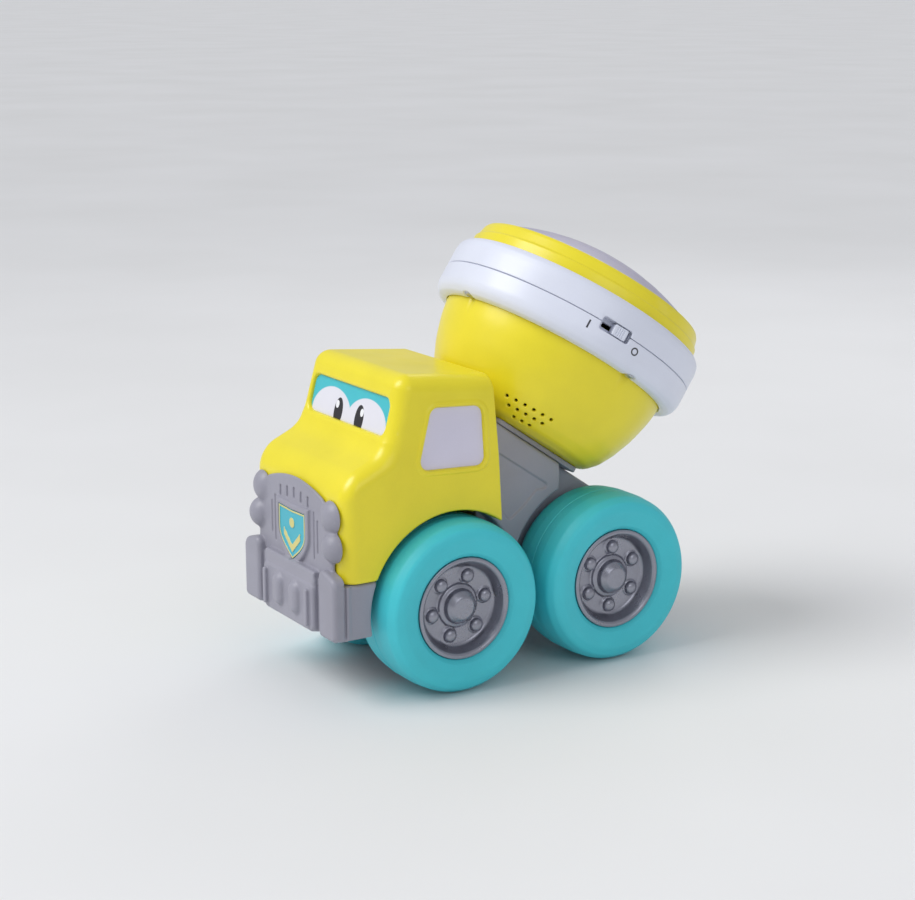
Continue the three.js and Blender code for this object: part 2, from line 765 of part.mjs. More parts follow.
const bowlProfile = [
  [0, bowlBottom],
  [bowlTopRadius - 25.5, bowlBottom],
  [bowlTopRadius - 18.5, bowlBottom + 2.2],
  [bowlTopRadius - 13.5, bowlBottom + 7.4],
  [bowlTopRadius - 9.1, bowlBottom + 15],
  [bowlTopRadius - 4.5, bowlBottom + 26],
  [bowlTopRadius - 1.1, bowlBottom + 38.5],
  [bowlTopRadius, -15.8],
  [bowlTopRadius, -12.9],
  [ringRadius - 2.8, -12.9],
  [ringRadius - 2.8, -10.9],
  [bowlTopRadius - 4.5, -10.9],
  [bowlTopRadius - 4.5, -13],
  [bowlTopRadius - 2.4, -15],
  [bowlTopRadius - 3.5, bowlBottom + 38.5],
  [bowlTopRadius - 6.9, bowlBottom + 26.5],
  [bowlTopRadius - 11.5, bowlBottom + 16],
  [bowlTopRadius - 15.7, bowlBottom + 8.6],
  [bowlTopRadius - 19.7, bowlBottom + 4.4],
  [bowlTopRadius - 26.1, bowlBottom + 2.4],
  [0, bowlBottom + 2.4],
];

// Radius of the bowl's skin at a height, for the holes of the loudspeaker.
function bowlRadius(w) {
  for (let i = 1; i < 7; i += 1) {
    const [r0, h0] = bowlProfile[i];
    const [r1, h1] = bowlProfile[i + 1];
    if (w <= h1) return r0 + ((r1 - r0) * (w - h0)) / (h1 - h0);
  }
  return bowlTopRadius;
}

const coverU = recessU - 1.5;
const coverY = recessY - 1.5;

function bowl() {
  const outer = solid(turned(bowlProfile, drumSides));
  // Socket over the cradle: a wall down from the battery floor to the underside.
  const wall = solid(
    place(
      extruded(rectangle(recessU + 2, recessY + 2, 5), recessTop + 2 - bowlBottom),
      shift(0, 0, bowlBottom),
    ),
  );
  const socket = solid(
    place(extruded(rectangle(recessU, recessY, 4), recessTop - bowlBottom + 5), shift(0, 0, bowlBottom - 5)),
  );
  const door = solid(
    place(extruded(rectangle(coverU, coverY, 3), 12), shift(0, 0, recessTop - 4)),
  );
  const screws = ringScrewTurns.flatMap((a) => [
    around(rod([ringScrewRadius, 0], 1.7, -20, 0, holeSides), a),
    around(rod([ringScrewRadius, 0], 3.6, -30, -12.4 - 0.8, postSides), a),
  ]);
  const holes = [];
  for (const [row, count, first] of [[0, 6, 43], [1, 5, 46], [2, 3, 51.8]]) {
    for (let k = 0; k < count; k += 1) {
      const w = bowlBottom + 10 - row * 3.6;
      const a = ((first + k * 5.8) * Math.PI) / 180;
      const r = bowlRadius(w);
      holes.push(around(solid(place(bar(0.9, -6, 6, 5), spinY(Math.PI / 2 + 0.5), shift(r, 0, w))), a));
    }
  }
  return cut(join(outer, wall), socket, door, ...screws, ...holes);
}

addToDrum(meshOf("drum_bowl", bowl(), yellow, 0.28));

const ringLowerProfile = [
  [ringRadius - 2.4, -seam],
  [ringRadius, -seam],
  [ringRadius, -9],
  [ringRadius - 0.8, -12.4],
  [ringRadius - 3, -15],
  [ringRadius - 5.4, -15.8],
  [bowlTopRadius + gap, -15.8],
  [bowlTopRadius + gap, -13.3],
  [ringRadius - 2.4, -13.2],
];

const switchTurn = (73 * Math.PI) / 180;
const switchLength = 8.6; // half length of the opening for the switch
const switchTall = 3.4;

function switchOpening() {
  const g = extruded(rectangle(switchLength, switchTall, 1.2), 16);
  return around(solid(place(g, facingX, shift(ringRadius - 8, 0, -0.4))), switchTurn);
}

function ringLower() {
  const ring = solid(turned(ringLowerProfile, drumSides));
  const wells = ringScrewTurns.flatMap((a) => [
    around(rod([ringScrewRadius, 0], 3.3, -20, -14.7, postSides), a),
    around(rod([ringScrewRadius, 0], 1.7, -20, 0, holeSides), a),
  ]);
  return cut(ring, ...wells, switchOpening());
}

addToDrum(meshOf("ring_lower", ringLower(), white, 0.32));

const ringUpperProfile = [
  [ringRadius - 2.4, seam],
  [ringRadius, seam],
  [ringRadius, 9.5],
  [ringRadius - 0.6, 12.8],
  [ringRadius - 2.2, 14.9],
  [ringRadius - 3.6, 15.4],
  [ringRadius - 4.8, 15],
  [ringRadius - 5, 13],
  [ringRadius - 3, 12.6],
  [ringRadius - 2.4, 11.6],
];

function ringUpper() {
  const ring = solid(turned(ringUpperProfile, drumSides));
  const bosses = ringScrewTurns.map((a) =>
    around(rod([ringScrewRadius, 0], 2.7, -10.6, 6, postSides), a),
  );
  const webs = ringScrewTurns.map((a) => around(box(ringScrewRadius, ringRadius - 1.5, -1, 1, seam, 6), a));
  const holes = ringScrewTurns.map((a) =>
    around(rod([ringScrewRadius, 0], 1.65, -20, 4.4, holeSides), a),
  );
  return cut(join(ring, ...bosses, ...webs), ...holes, switchOpening());
}

addToDrum(meshOf("ring_upper", ringUpper(), white, 0.32));

const topRingProfile = [
  [ringRadius - 5.3, 7.5],
  [ringRadius - 5.3, 10.2],
  [ringRadius - 3, 10.2],
  [ringRadius - 3.2, 12.2],
  [ringRadius - 5.3, 12.6],
  [ringRadius - 5.5, 20.4],
  [ringRadius - 6.5, 21],
  [ringRadius - 7.6, 26],
  [ringRadius - 8.6, 27.6],
  [padRadius + 0.6, 27.6],
  [padRadius + 0.5, 24.5],
  [padRadius + 2.1, 23.9],
  [padRadius + 2.1, 7.5],
];

addToDrum(meshOf("top_ring", solid(turned(topRingProfile, drumSides)), yellow, 0.28));

ringScrewTurns.forEach((a, i) => {
  const body = around(screw(2.8, 1.3, 1.4, 16).translate([ringScrewRadius, 0, -16]), a);
  addToDrum(meshOf(`ring_screw_${i + 1}`, body, steel, 0.35, 0.9));
});

// ---------- drum pad and its key ----------
const padEdge = 27;
const domeSphere = (padRadius ** 2 + (padTop - padEdge) ** 2) / (2 * (padTop - padEdge));
const domeZ = (r, drop = 0) => {
  const s = domeSphere - drop;
  return padTop - domeSphere + Math.sqrt(s * s - r * r);
};
const padWall = 2;

function pad() {
  const outer = [0, 14, 28, 41, 52, 60].map((r) => [r, domeZ(r)]);
  const inner = [58, 50, 40, 28, 14, 0].map((r) => [r, domeZ(r, padWall)]);
  return [
    ...outer,
    [padRadius, domeZ(60) - 1.4],
    [padRadius, 23.4],
    [padRadius + 1.4, 23.2],
    [padRadius + 1.4, 21.4],
    [padRadius - 5, 21.4],
    [padRadius - 5, 23.2],
    [padRadius - 1.6, 23.6],
    ...inner,
  ];
}

// The key is the part of the dome inside a second, offset circle.
const keyTurn = 73 + 180;
const keyCircle = 87;
const keyOffset = 112.6;
const keyOuter = 58.6;

function keyColumn(grow, low, high) {
  const disc = rod([keyOffset, 0], keyCircle + grow, low, high, 56);
  return around(disc.intersect(solid(bar(keyOuter + grow, low, high, drumSides))), (keyTurn * Math.PI) / 180);
}

const padBody = cut(solid(turned(pad(), drumSides)), keyColumn(0.4, 24, 60));
addToDrum(meshOf("pad_dome", padBody, pale, 0.3, 0, { transparent: true, opacity: 0.85 }));

function key() {
  const outer = [0, 14, 28, 41, 52, 60].map((r) => [r, domeZ(r) + 0.2]);
  const skin = solid(turned([...outer, [60, 15], [0, 15]], drumSides)).intersect(keyColumn(0, 10, 60));
  const under = [0, 14, 28, 40, 50, 57.2].map((r) => [r, domeZ(r, padWall)]);
  const hollow = solid(turned([...under, [57.2, 5], [0, 5]], drumSides)).intersect(keyColumn(-1.6, 0, 60));
  return cut(skin, hollow, solid(bar(80, 0, 25.4, 12)));
}

addToDrum(meshOf("mode_key", key(), orange, 0.35));

// ---------- drum inside ----------
const carrierLow = -10.6;
const carrierTop = -8.4;
const postTurns = [13, 133, 313].map((d) => (d * Math.PI) / 180);
const postRadius = 58.6;
const postTop = 8;
const keySpringRadius = 44;
const keyPostTop = 13;
const keyAngle = (keyTurn * Math.PI) / 180;

function carrier() {
  const disc = solid(bar(61.2, carrierLow, carrierTop, drumSides));
  const posts = postTurns.map((a) => around(rod([postRadius, 0], 2.4, -9, postTop, 10), a));
  const keyPost = around(rod([keySpringRadius, 0], 2.4, -9, keyPostTop, 10), keyAngle);
  const opening = solid(bar(9, -20, 0, 16));
  return cut(join(disc, ...posts, keyPost), opening);
}

addToDrum(meshOf("board_carrier", carrier(), white, 0.6));

class Helix extends THREE.Curve {
  constructor(radius, low, high, turns) {
    super();
    Object.assign(this, { radius, low, high, turns });
  }

  getPoint(t, out = new THREE.Vector3()) {
    const a = 2 * Math.PI * this.turns * t;
    const rise = this.low + (this.high - this.low) * t;
    return out.set(this.radius * Math.cos(a), this.radius * Math.sin(a), rise);
  }
}

function spring(low, high, turns) {
  const wire = 0.4;
  const section = new THREE.Shape();
  section.absarc(0, 0, wire, 0, 2 * Math.PI, false);
  const path = new Helix(2.2, low + wire + 0.1, high - wire - 0.1, turns);
  const steps = Math.round(turns * 8);
  const options = { steps, extrudePath: path, curveSegments: 2, bevelEnabled: false };
  return solid(new THREE.ExtrudeGeometry(section, options));
}

postTurns.forEach((a, i) => {
  const body = around(spring(postTop, 21.4, 3).translate([postRadius, 0, 0]), a);
  addToDrum(meshOf(`pad_spring_${i + 1}`, body, steel, 0.3, 0.95));
});
const keySpringTop = domeZ(keySpringRadius + 2.6, padWall);
const keySpring = around(spring(keyPostTop, keySpringTop, 3).translate([keySpringRadius, 0, 0]), keyAngle);
addToDrum(meshOf("key_spring", keySpring, steel, 0.3, 0.95));

const boardTop = carrierTop + gap + 1.6;
const boardPost = cut(
  solid(bar(38, carrierTop + gap, boardTop, 32)),
  around(rod([keySpringRadius, 0], 3, -20, 20, 12), keyAngle),
);
addToDrum(meshOf("circuit_board", boardPost, 0x2f7a4a, 0.5));
const lampTurns = [0, 120, 240].map((d) => (d * Math.PI) / 180);
lampTurns.forEach((a, i) => {
  const low = boardTop + gap;
  const profile = [
    [0, low],
    [2.9, low],
    [2.9, low + 1],
    [2.5, low + 1],
    [2.5, low + 6.4],
    [1.6, low + 8],
    [0, low + 8.6],
  ];
  const body = around(solid(turned(profile, 12)).translate([22, 0, 0]), a);
  addToDrum(meshOf(`led_${i + 1}`, body, 0xf3f0e4, 0.15));
});

// Battery box above the socket, closed from below by the cover.
const cellRadius = 7.1;
const cellLength = 49.6;
const boxFloor = recessTop + 2 + gap;
const boxTop = boxFloor + 2 * cellRadius + 3.2;

function batteryBox() {
  const x = 27.4;
  const y = 24.6;
  const outer = box(-x, x, -y, y, boxFloor, boxTop);
  const inside = box(-x + 1.6, x - 1.6, -y + 1.6, y - 1.6, boxFloor - 4, boxTop - 1.6);
  return cut(outer, inside);
}

addToDrum(meshOf("battery_box", batteryBox(), 0x3b3d42, 0.6));
[-1, 0, 1].forEach((k, i) => {
  const profile = [
    [0, -cellLength / 2],
    [cellRadius, -cellLength / 2],
    [cellRadius, cellLength / 2 - 1.4],
    [2.6, cellLength / 2 - 1.2],
    [2.6, cellLength / 2],
    [0, cellLength / 2],
  ];
  const lay = spinY(((k === 0 ? -1 : 1) * Math.PI) / 2);
  const cell = place(turned(profile, 18), lay, shift(0, k * 15, boxFloor + cellRadius + 0.6));
  addToDrum(meshOf(`battery_${i + 1}`, solid(cell), 0xb98a4a, 0.4, 0.5));
});

function batteryCover() {
  const lid = solid(
    place(extruded(rectangle(coverU - gap, coverY - gap, 3), 1.8, 0.3, 1), shift(0, 0, recessTop + 0.1)),
  );
  const hole = rod([0, 0], 1.7, recessTop - 4, recessTop + 8, holeSides);
  return cut(lid, hole);
}

addToDrum(meshOf("battery_cover", batteryCover(), yellow, 0.4));

// Loudspeaker behind the holes of the bowl.
function speaker() {
  const profile = [[0, 0], [8, 0], [8, 3], [13.4, 6.4], [14, 6.4], [14, 8], [12.6, 8], [7, 5.6], [0, 6.6]];
  const g = place(
    turned(profile, 20),
    spinY(Math.PI / 2 + 0.42),
    shift(bowlRadius(-42) - 13.4, 0, -40.5),
  );
  return around(solid(g), (57.5 * Math.PI) / 180);
}

addToDrum(meshOf("speaker", speaker(), 0x2c2d31, 0.6, 0.2));

// ---------- power switch ----------
const knobAlong = 2.5; // the knob rests at the OFF end of its travel
const housingX = ringRadius - 2.4 - 1.7;

function switchHousing() {
  const outer = box(housingX - 5, housingX, -10.6, 10.6, -5.4, 4.6);
  const low = -0.4 - switchTall;
  const high = -0.4 + switchTall;
  const tray = box(housingX - 2.2, housingX + 4, -switchLength, switchLength, low, high);
  const slot = box(housingX - 9, housingX, -6.2, 6.2, -1.6, 0.8);
  return around(cut(outer, tray, slot), switchTurn);
}

addToDrum(meshOf("switch_housing", switchHousing(), white, 0.4));

function knob() {
  const back = housingX - 2.2 + gap;
  const front = ringRadius - 0.5;
  const pad = extruded(rectangle(4, 2.9, 0.9), front - back, 0.5, 1);
  const grip = solid(place(pad, facingX, shift(back, knobAlong, -0.4)));
  const stem = box(back - 4.4, back + 1, knobAlong - 2, knobAlong + 2, -1.3, 0.5);
  const nicks = [-1.6, 0, 1.6].map((d) =>
    box(front - 0.45, front + 2, knobAlong + d - 0.3, knobAlong + d + 0.3, -2.6, 1.8),
  );
  return around(cut(join(grip, stem), ...nicks), switchTurn);
}

addToDrum(meshOf("switch_knob", knob(), white, 0.3));

export default toy;
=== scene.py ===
"""Looks of a toy cement mixer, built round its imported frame. Lengths inside are millimetres."""

import math

import bpy
import numpy as np
from mathutils import Matrix, Vector


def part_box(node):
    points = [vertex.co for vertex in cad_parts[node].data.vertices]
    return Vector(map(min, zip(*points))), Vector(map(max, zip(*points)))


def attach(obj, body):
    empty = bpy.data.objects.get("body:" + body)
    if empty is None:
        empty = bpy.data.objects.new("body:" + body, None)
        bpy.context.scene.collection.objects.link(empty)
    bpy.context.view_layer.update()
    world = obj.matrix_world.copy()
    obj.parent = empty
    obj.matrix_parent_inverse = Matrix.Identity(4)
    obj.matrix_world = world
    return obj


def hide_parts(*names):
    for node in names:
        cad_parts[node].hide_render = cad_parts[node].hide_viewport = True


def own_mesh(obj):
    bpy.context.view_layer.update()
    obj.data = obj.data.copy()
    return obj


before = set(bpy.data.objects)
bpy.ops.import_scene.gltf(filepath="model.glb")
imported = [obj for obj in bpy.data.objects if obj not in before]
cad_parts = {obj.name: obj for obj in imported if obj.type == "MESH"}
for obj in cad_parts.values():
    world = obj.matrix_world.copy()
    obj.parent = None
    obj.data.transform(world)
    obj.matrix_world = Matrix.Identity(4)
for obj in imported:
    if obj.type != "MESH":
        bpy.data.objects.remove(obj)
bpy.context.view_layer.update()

MM = 0.001
COARSE = 1.0  # grid steps grow by this while trying things

# ---------- places taken from the frame ----------
def centre(node):
    low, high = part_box(node)
    return (low + high) / 2 / MM


FRONT_AXLE = centre("tyre_front_left").x
REAR_AXLE = centre("tyre_rear_left").x
WHEEL_Z = centre("tyre_front_left").z
TRACK = centre("tyre_front_left").y
GAP = 0.3
TILT = math.radians(34)
DRUM_X, DRUM_Z = -99.1, 165.4  # middle of the drum's ring; all x below are from the front axle
WHEELBASE = FRONT_AXLE - REAR_AXLE


def shift(x, y, z):
    return Matrix.Translation((x, y, z))


def rotate(angle, axis="Z"):
    return Matrix.Rotation(angle, 4, axis)


TRUCK = shift(FRONT_AXLE, 0, 0)
DRUM = shift(FRONT_AXLE + DRUM_X, 0, DRUM_Z) @ rotate(-TILT, "Y")


# ---------- signed distance tools ----------
def grid(low, high, step):
    """Open axes of a grid that covers a box with a margin."""
    step *= COARSE
    axes = [
        np.arange(a - 2.5 * step, b + 3 * step, step, dtype=np.float32)
        for a, b in zip(low, high)
    ]
    return axes[0][:, None, None], axes[1][None, :, None], axes[2][None, None, :]


def origin(axes):
    """Step of a grid and its first corner."""
    return float(axes[0][1, 0, 0] - axes[0][0, 0, 0]), np.array([float(a.min()) for a in axes])


def polygon(points, a, b):
    """Distance to a closed outline in two coordinates, negative inside."""
    a, b = np.broadcast_arrays(a, b)
    best = np.full(a.shape, 1e9, np.float32)
    inside = np.zeros(a.shape, bool)
    for (x0, y0), (x1, y1) in zip(points, points[1:] + points[:1]):
        ex, ey = x1 - x0, y1 - y0
        length = ex * ex + ey * ey
        if length < 1e-12:
            continue
        t = np.clip(((a - x0) * ex + (b - y0) * ey) / length, 0, 1)
        best = np.minimum(best, (a - x0 - t * ex) ** 2 + (b - y0 - t * ey) ** 2)
        if y0 != y1:
            inside ^= ((y0 <= b) != (y1 <= b)) & (a < ex * (b - y0) / ey + x0)
    return np.where(inside, -1, 1) * np.sqrt(best)


def fillet(points, radius, steps=6):
    """The outline with its corners rounded; radius is one number or one for each corner."""
    made = []
    count = len(points)
    for i in range(count):
        r = radius[i] if hasattr(radius, "__len__") else radius
        p = Vector(points[i])
        a = Vector(points[i - 1]) - p
        b = Vector(points[(i + 1) % count]) - p
        if r <= 0 or a.length < 1e-6 or b.length < 1e-6:
            made.append(tuple(p))
            continue
        ua, ub = a.normalized(), b.normalized()
        half = math.acos(max(-1, min(1, ua.dot(ub)))) / 2
        if half > math.pi / 2 - 0.02 or half < 0.02:
            made.append(tuple(p))
            continue
        reach = min(r / math.tan(half), 0.48 * a.length, 0.48 * b.length)
        r = reach * math.tan(half)
        middle = p + (ua + ub).normalized() * (r / math.sin(half))
        start, end = p + ua * reach - middle, p + ub * reach - middle
        turn = math.atan2(start.x * end.y - start.y * end.x, start.dot(end))
        for k in range(steps + 1):
            c, s = math.cos(turn * k / steps), math.sin(turn * k / steps)
            made.append(
                (middle.x + start.x * c - start.y * s, middle.y + start.x * s + start.y * c)
            )
    return made


def rect(a, b, r, at=(0, 0)):
    x, y = at
    return fillet([(x - a, y - b), (x + a, y - b), (x + a, y + b), (x - a, y + b)], r)


both = np.maximum  # what two fields have in common


def slab(a, low, high):
    return both(low - a, a - high)


def meet(r, *parts):
    """Parts in common, with their shared edges rounded to radius r."""
    top = parts[0]
    for p in parts[1:]:
        top = both(top, p)
    total = 0
    for p in parts:
        total = total + both(p + r, 0) ** 2
    return np.minimum(top, -r) + np.sqrt(total)


def merge(a, b, soft=0.0):
    """Both parts, with a soft fillet where they join."""
    low = np.minimum(a, b)
    if soft <= 0:
        return low
    h = both(soft - np.abs(a - b), 0) / soft
    return low - h * h * soft / 4


def carve(a, b, soft=0.0):
    """a without b, the lip softened."""
    return -merge(-a, b, soft)


def box(axes, low, high, r=0.4):
    x, y, z = axes
    return meet(r, slab(x, low[0], high[0]), slab(y, low[1], high[1]), slab(z, low[2], high[2]))


def disc(a, b, r):
    return np.sqrt(a * a + b * b) - r


def egg(axes, at, radii):
    """Ellipsoid, close to a true distance near its skin."""
    d = [(g - c) for g, c in zip(axes, at)]
    k0 = np.sqrt(sum((v / r) ** 2 for v, r in zip(d, radii)))
    k1 = np.sqrt(sum((v / (r * r)) ** 2 for v, r in zip(d, radii))) + 1e-6
    return k0 * (k0 - 1) / k1


def turned(profile, a, b, w):
    """A profile of (radius, height) pairs turned about an axis."""
    radius = np.sqrt(a * a + b * b)
    fine = 0.2
    samples = np.arange(0, float(radius.max()) + 1, fine, dtype=np.float32)
    heights = w.reshape(-1)
    table = polygon(
        [(-30 if r == 0 else r, h) for r, h in profile], samples[:, None], heights[None, :]
    ).astype(np.float32)
    place = np.clip(radius / fine, 0, len(samples) - 2)
    i = place.astype(int)
    t = (place - i)[..., None]
    shape = np.broadcast_shapes(a.shape, b.shape, w.shape)
    i, t = i.reshape(-1), t.reshape(-1, 1)
    flat = table[i] * (1 - t) + table[i + 1] * t
    order = [n for n, s in enumerate(w.shape) if s > 1][0]
    others = [n for n in range(3) if n != order]
    made = flat.reshape([shape[n] for n in others] + [shape[order]])
    return np.moveaxis(made, -1, order)


EDGES = [
    (a, b)
    for a in np.ndindex(2, 2, 2)
    for b in np.ndindex(2, 2, 2)
    if sum(b) == sum(a) + 1 and all(q >= p for p, q in zip(a, b))
]


def skin(field, axes):
    """Closed quad surface of a sampled field: its points, and its quads wound to face outward."""
    step, low = origin(axes)
    f = np.ascontiguousarray(field, np.float32)
    inside = f < 0
    n = [s - 1 for s in f.shape]
    total = np.zeros(n, np.uint8)
    for d in np.ndindex(2, 2, 2):
        total += inside[d[0] : d[0] + n[0], d[1] : d[1] + n[1], d[2] : d[2] + n[2]]
    i, j, k = np.nonzero((total > 0) & (total < 8))
    number = np.full(n, -1, np.int64)
    number[i, j, k] = np.arange(len(i))
    points, hits = np.zeros((len(i), 3)), np.zeros(len(i))
    for a, b in EDGES:
        fa = f[i + a[0], j + a[1], k + a[2]]
        fb = f[i + b[0], j + b[1], k + b[2]]
        m = (fa < 0) != (fb < 0)
        t = fa[m] / (fa[m] - fb[m])
        points[m] += np.array(a) + t[:, None] * (np.array(b) - np.array(a))
        hits[m] += 1
    points = points / hits[:, None] + np.stack([i, j, k], 1)
    quads = []
    for axis in range(3):
        u, v = (axis + 1) % 3, (axis + 2) % 3
        here = [slice(1, -1)] * 3
        here[axis] = slice(0, -1)
        there = list(here)
        there[axis] = slice(1, None)
        near, far = inside[tuple(here)], inside[tuple(there)]
        at = np.stack(np.nonzero(near != far), 1) + [0 if q == axis else 1 for q in range(3)]
        flip = inside[tuple(at.T)]
        du, dv = np.eye(3, dtype=int)[u], np.eye(3, dtype=int)[v]
        ring = [at - du - dv, at - dv, at, at - du]
        q = np.stack([number[tuple(c.T)] for c in ring], 1)
        q[~flip] = q[~flip][:, ::-1]
        quads.append(q)
    return low + points * step, np.concatenate(quads)


def slope(field, axes, points):
    """Unit gradient of the field at some points."""
    step, low = origin(axes)
    shape = np.array(field.shape)

    def sample(p):
        q = np.clip((p - low) / step, 0, shape - 1.001)
        c = q.astype(int)
        t = q - c
        value = 0
        for d in np.ndindex(2, 2, 2):
            w = np.prod(np.where(np.array(d) == 1, t, 1 - t), axis=1)
            value = value + w * field[c[:, 0] + d[0], c[:, 1] + d[1], c[:, 2] + d[2]]
        return value

    e = 0.55 * step
    g = np.stack(
        [sample(points + e * np.eye(3)[n]) - sample(points - e * np.eye(3)[n]) for n in range(3)], 1
    )
    return g / both(np.linalg.norm(g, axis=1, keepdims=True), 1e-9)


# ---------- materials ----------
MATERIALS = {}


class Graph:
    """A new material and short ways to add nodes to it."""

    def __init__(self, name):
        self.material = bpy.data.materials.new(name)
        self.material.use_nodes = True
        self.nodes = self.material.node_tree.nodes
        self.link = self.material.node_tree.links.new
        self.shader = self.nodes["Principled BSDF"]
        self.where = self.nodes.new("ShaderNodeTexCoord").outputs["Object"]

    def ramp(self, source, *stops):
        node = self.nodes.new("ShaderNodeValToRGB")
        for e, (at, grey) in zip(node.color_ramp.elements, stops):
            e.position, e.color = at, (grey, grey, grey, 1)
        self.link(source, node.inputs[0])
        return node.outputs[0]

    def noise(self, scale, detail, rough=0.5):
        node = self.nodes.new("ShaderNodeTexNoise")
        for name, value in (("Scale", scale), ("Detail", detail), ("Roughness", rough)):
            node.inputs[name].default_value = value
        self.link(self.where, node.inputs["Vector"])
        return node.outputs["Fac"]

    def calc(self, kind, *values, clamp=False):
        node = self.nodes.new("ShaderNodeMath")
        node.operation = kind
        node.use_clamp = clamp
        self.fill(node.inputs, values)
        return node.outputs[0]

    def mix(self, factor, a, b, kind="MIX"):
        node = self.nodes.new("ShaderNodeMix")
        node.data_type = "RGBA"
        node.blend_type = kind
        colours = [s for s in node.inputs if s.type == "RGBA"]
        self.fill([node.inputs[0], *colours], (factor, a, b))
        return next(s for s in node.outputs if s.type == "RGBA")

    def fill(self, sockets, values):
        for socket, value in zip(sockets, values):
            if isinstance(value, (int, float)):
                socket.default_value = value
            elif isinstance(value, tuple):
                socket.default_value = (*value, 1)
            else:
                self.link(value, socket)


def moulded(name, colour, rough=0.35, vary=0.05, wear_and_edge_highlight=0.12, grain=0.0, metal=0.0, coat=0.0,
            soft=0.0, paint=None, clear=0.0, flakes=0.0):
    """Moulded plastic, painted plastic or plated steel: mottled colour, edges paler from wear and a painted
    highlight, painted shade in the creases, fine skin.
    """
    g = Graph(name)
    base = paint(g, colour) if paint else colour
    speck = g.noise(1400, 2)
    light = g.ramp(g.noise(38, 3), (0.3, 1 - vary), (0.7, 1 + vary))
    tint = g.mix(1.0, base, light, "MULTIPLY")
    fine = g.ramp(speck, (0.25, 1 - 0.4 * vary - flakes), (0.75, 1 + 0.4 * vary + flakes))
    tint = g.mix(1.0, tint, fine, "MULTIPLY")
    # Edges: paler on sharp outer edges, partly rubbing wear and partly a painted highlight; a little darker
    # in the creases, which is painted shade.
    point = g.nodes.new("ShaderNodeNewGeometry").outputs["Pointiness"]
    rub_and_edge_highlight = g.calc("MULTIPLY", g.ramp(point, (0.515, 0), (0.6, 1)), g.noise(160, 3))
    rub_and_edge_highlight = g.calc("MULTIPLY", rub_and_edge_highlight, wear_and_edge_highlight * 2.0, clamp=True)
    tint = g.mix(rub_and_edge_highlight, tint, tuple(min(1.0, c * 0.72 + 0.28) for c in colour))
    # Painted shade: concave creases blend towards a dark copy of the colour.
    crease = g.calc("MULTIPLY", g.ramp(point, (0.40, 1), (0.485, 0)), 0.22)
    tint = g.mix(crease, tint, tuple(c * 0.45 for c in colour))
    g.link(tint, g.shader.inputs["Base Color"])
    # Roughness: handled patches, and rubbed edges a little duller.
    r = g.calc("MULTIPLY_ADD", g.noise(55, 4, 0.6), 0.16, rough - 0.08)
    r = g.calc("MULTIPLY_ADD", rub_and_edge_highlight, 0.25, r)
    r = g.calc("MULTIPLY_ADD", speck, 0.04, r, clamp=True)
    g.link(r, g.shader.inputs["Roughness"])
    # Skin: long soft ripples of a moulded wall and a fine texture.
    height = g.calc("MULTIPLY", g.noise(2600 if grain == 0 else 1700, 2), 0.12 + grain)
    height = g.calc("MULTIPLY_ADD", g.noise(120, 1), 0.6, height)
    bump = g.nodes.new("ShaderNodeBump")
    bump.inputs["Strength"].default_value = 0.22
    bump.inputs["Distance"].default_value = 0.00012
    g.link(height, bump.inputs["Height"])
    g.link(bump.outputs[0], g.shader.inputs["Normal"])
    plain = {"Metallic": metal, "Coat Weight": coat, "Coat Roughness": 0.12}
    plain["Transmission Weight"] = clear
    if soft:
        plain["Subsurface Weight"] = soft
        plain["Subsurface Radius"] = (0.004, 0.003, 0.0015)
    for socket, value in plain.items():
        g.shader.inputs[socket].default_value = value
    g.material.diffuse_color = (*colour, 1)
    MATERIALS[name] = g.material


def linear(r, g, b):
    def one(v):
        v /= 255
        return v / 12.92 if v <= 0.04045 else ((v + 0.055) / 1.055) ** 2.4

    return (one(r), one(g), one(b))


# Windscreen print: a turquoise band over two rounded white shapes, and two dark ovals.
SCREEN_AT = (33.2, 0.0, 139.4)
SCREEN_LEAN = math.atan2(6.5, 25.8)


def screen_print(g, colour):
    calc = g.calc
    split = g.nodes.new("ShaderNodeSeparateXYZ")
    g.link(g.where, split.inputs[0])
    side = calc("ABSOLUTE", calc("MULTIPLY", split.outputs["Y"], 1 / MM))
    z = calc("MULTIPLY_ADD", split.outputs["Z"], 1 / MM, -SCREEN_AT[2])
    x = calc("MULTIPLY_ADD", split.outputs["X"], 1 / MM, -SCREEN_AT[0] - FRONT_AXLE)
    v = calc("MULTIPLY_ADD", x, -math.sin(SCREEN_LEAN), calc("MULTIPLY", z, math.cos(SCREEN_LEAN)))

    def oval(du, dv, ru, rv):
        a = calc("DIVIDE", calc("SUBTRACT", side, du), ru)
        b = calc("DIVIDE", calc("SUBTRACT", v, dv), rv)
        r = calc("ADD", calc("MULTIPLY", a, a), calc("MULTIPLY", b, b))
        return calc("MULTIPLY_ADD", r, -14, 14.5, clamp=True)

    tint = g.mix(oval(17.5, -6.5, 19.5, 13.2), linear(66, 190, 205), colour)
    tint = g.mix(oval(10.5, -4.6, 4.2, 7.2), tint, linear(28, 26, 34))
    return g.mix(oval(12.3, -1.0, 1.6, 2.0), tint, linear(240, 242, 248))


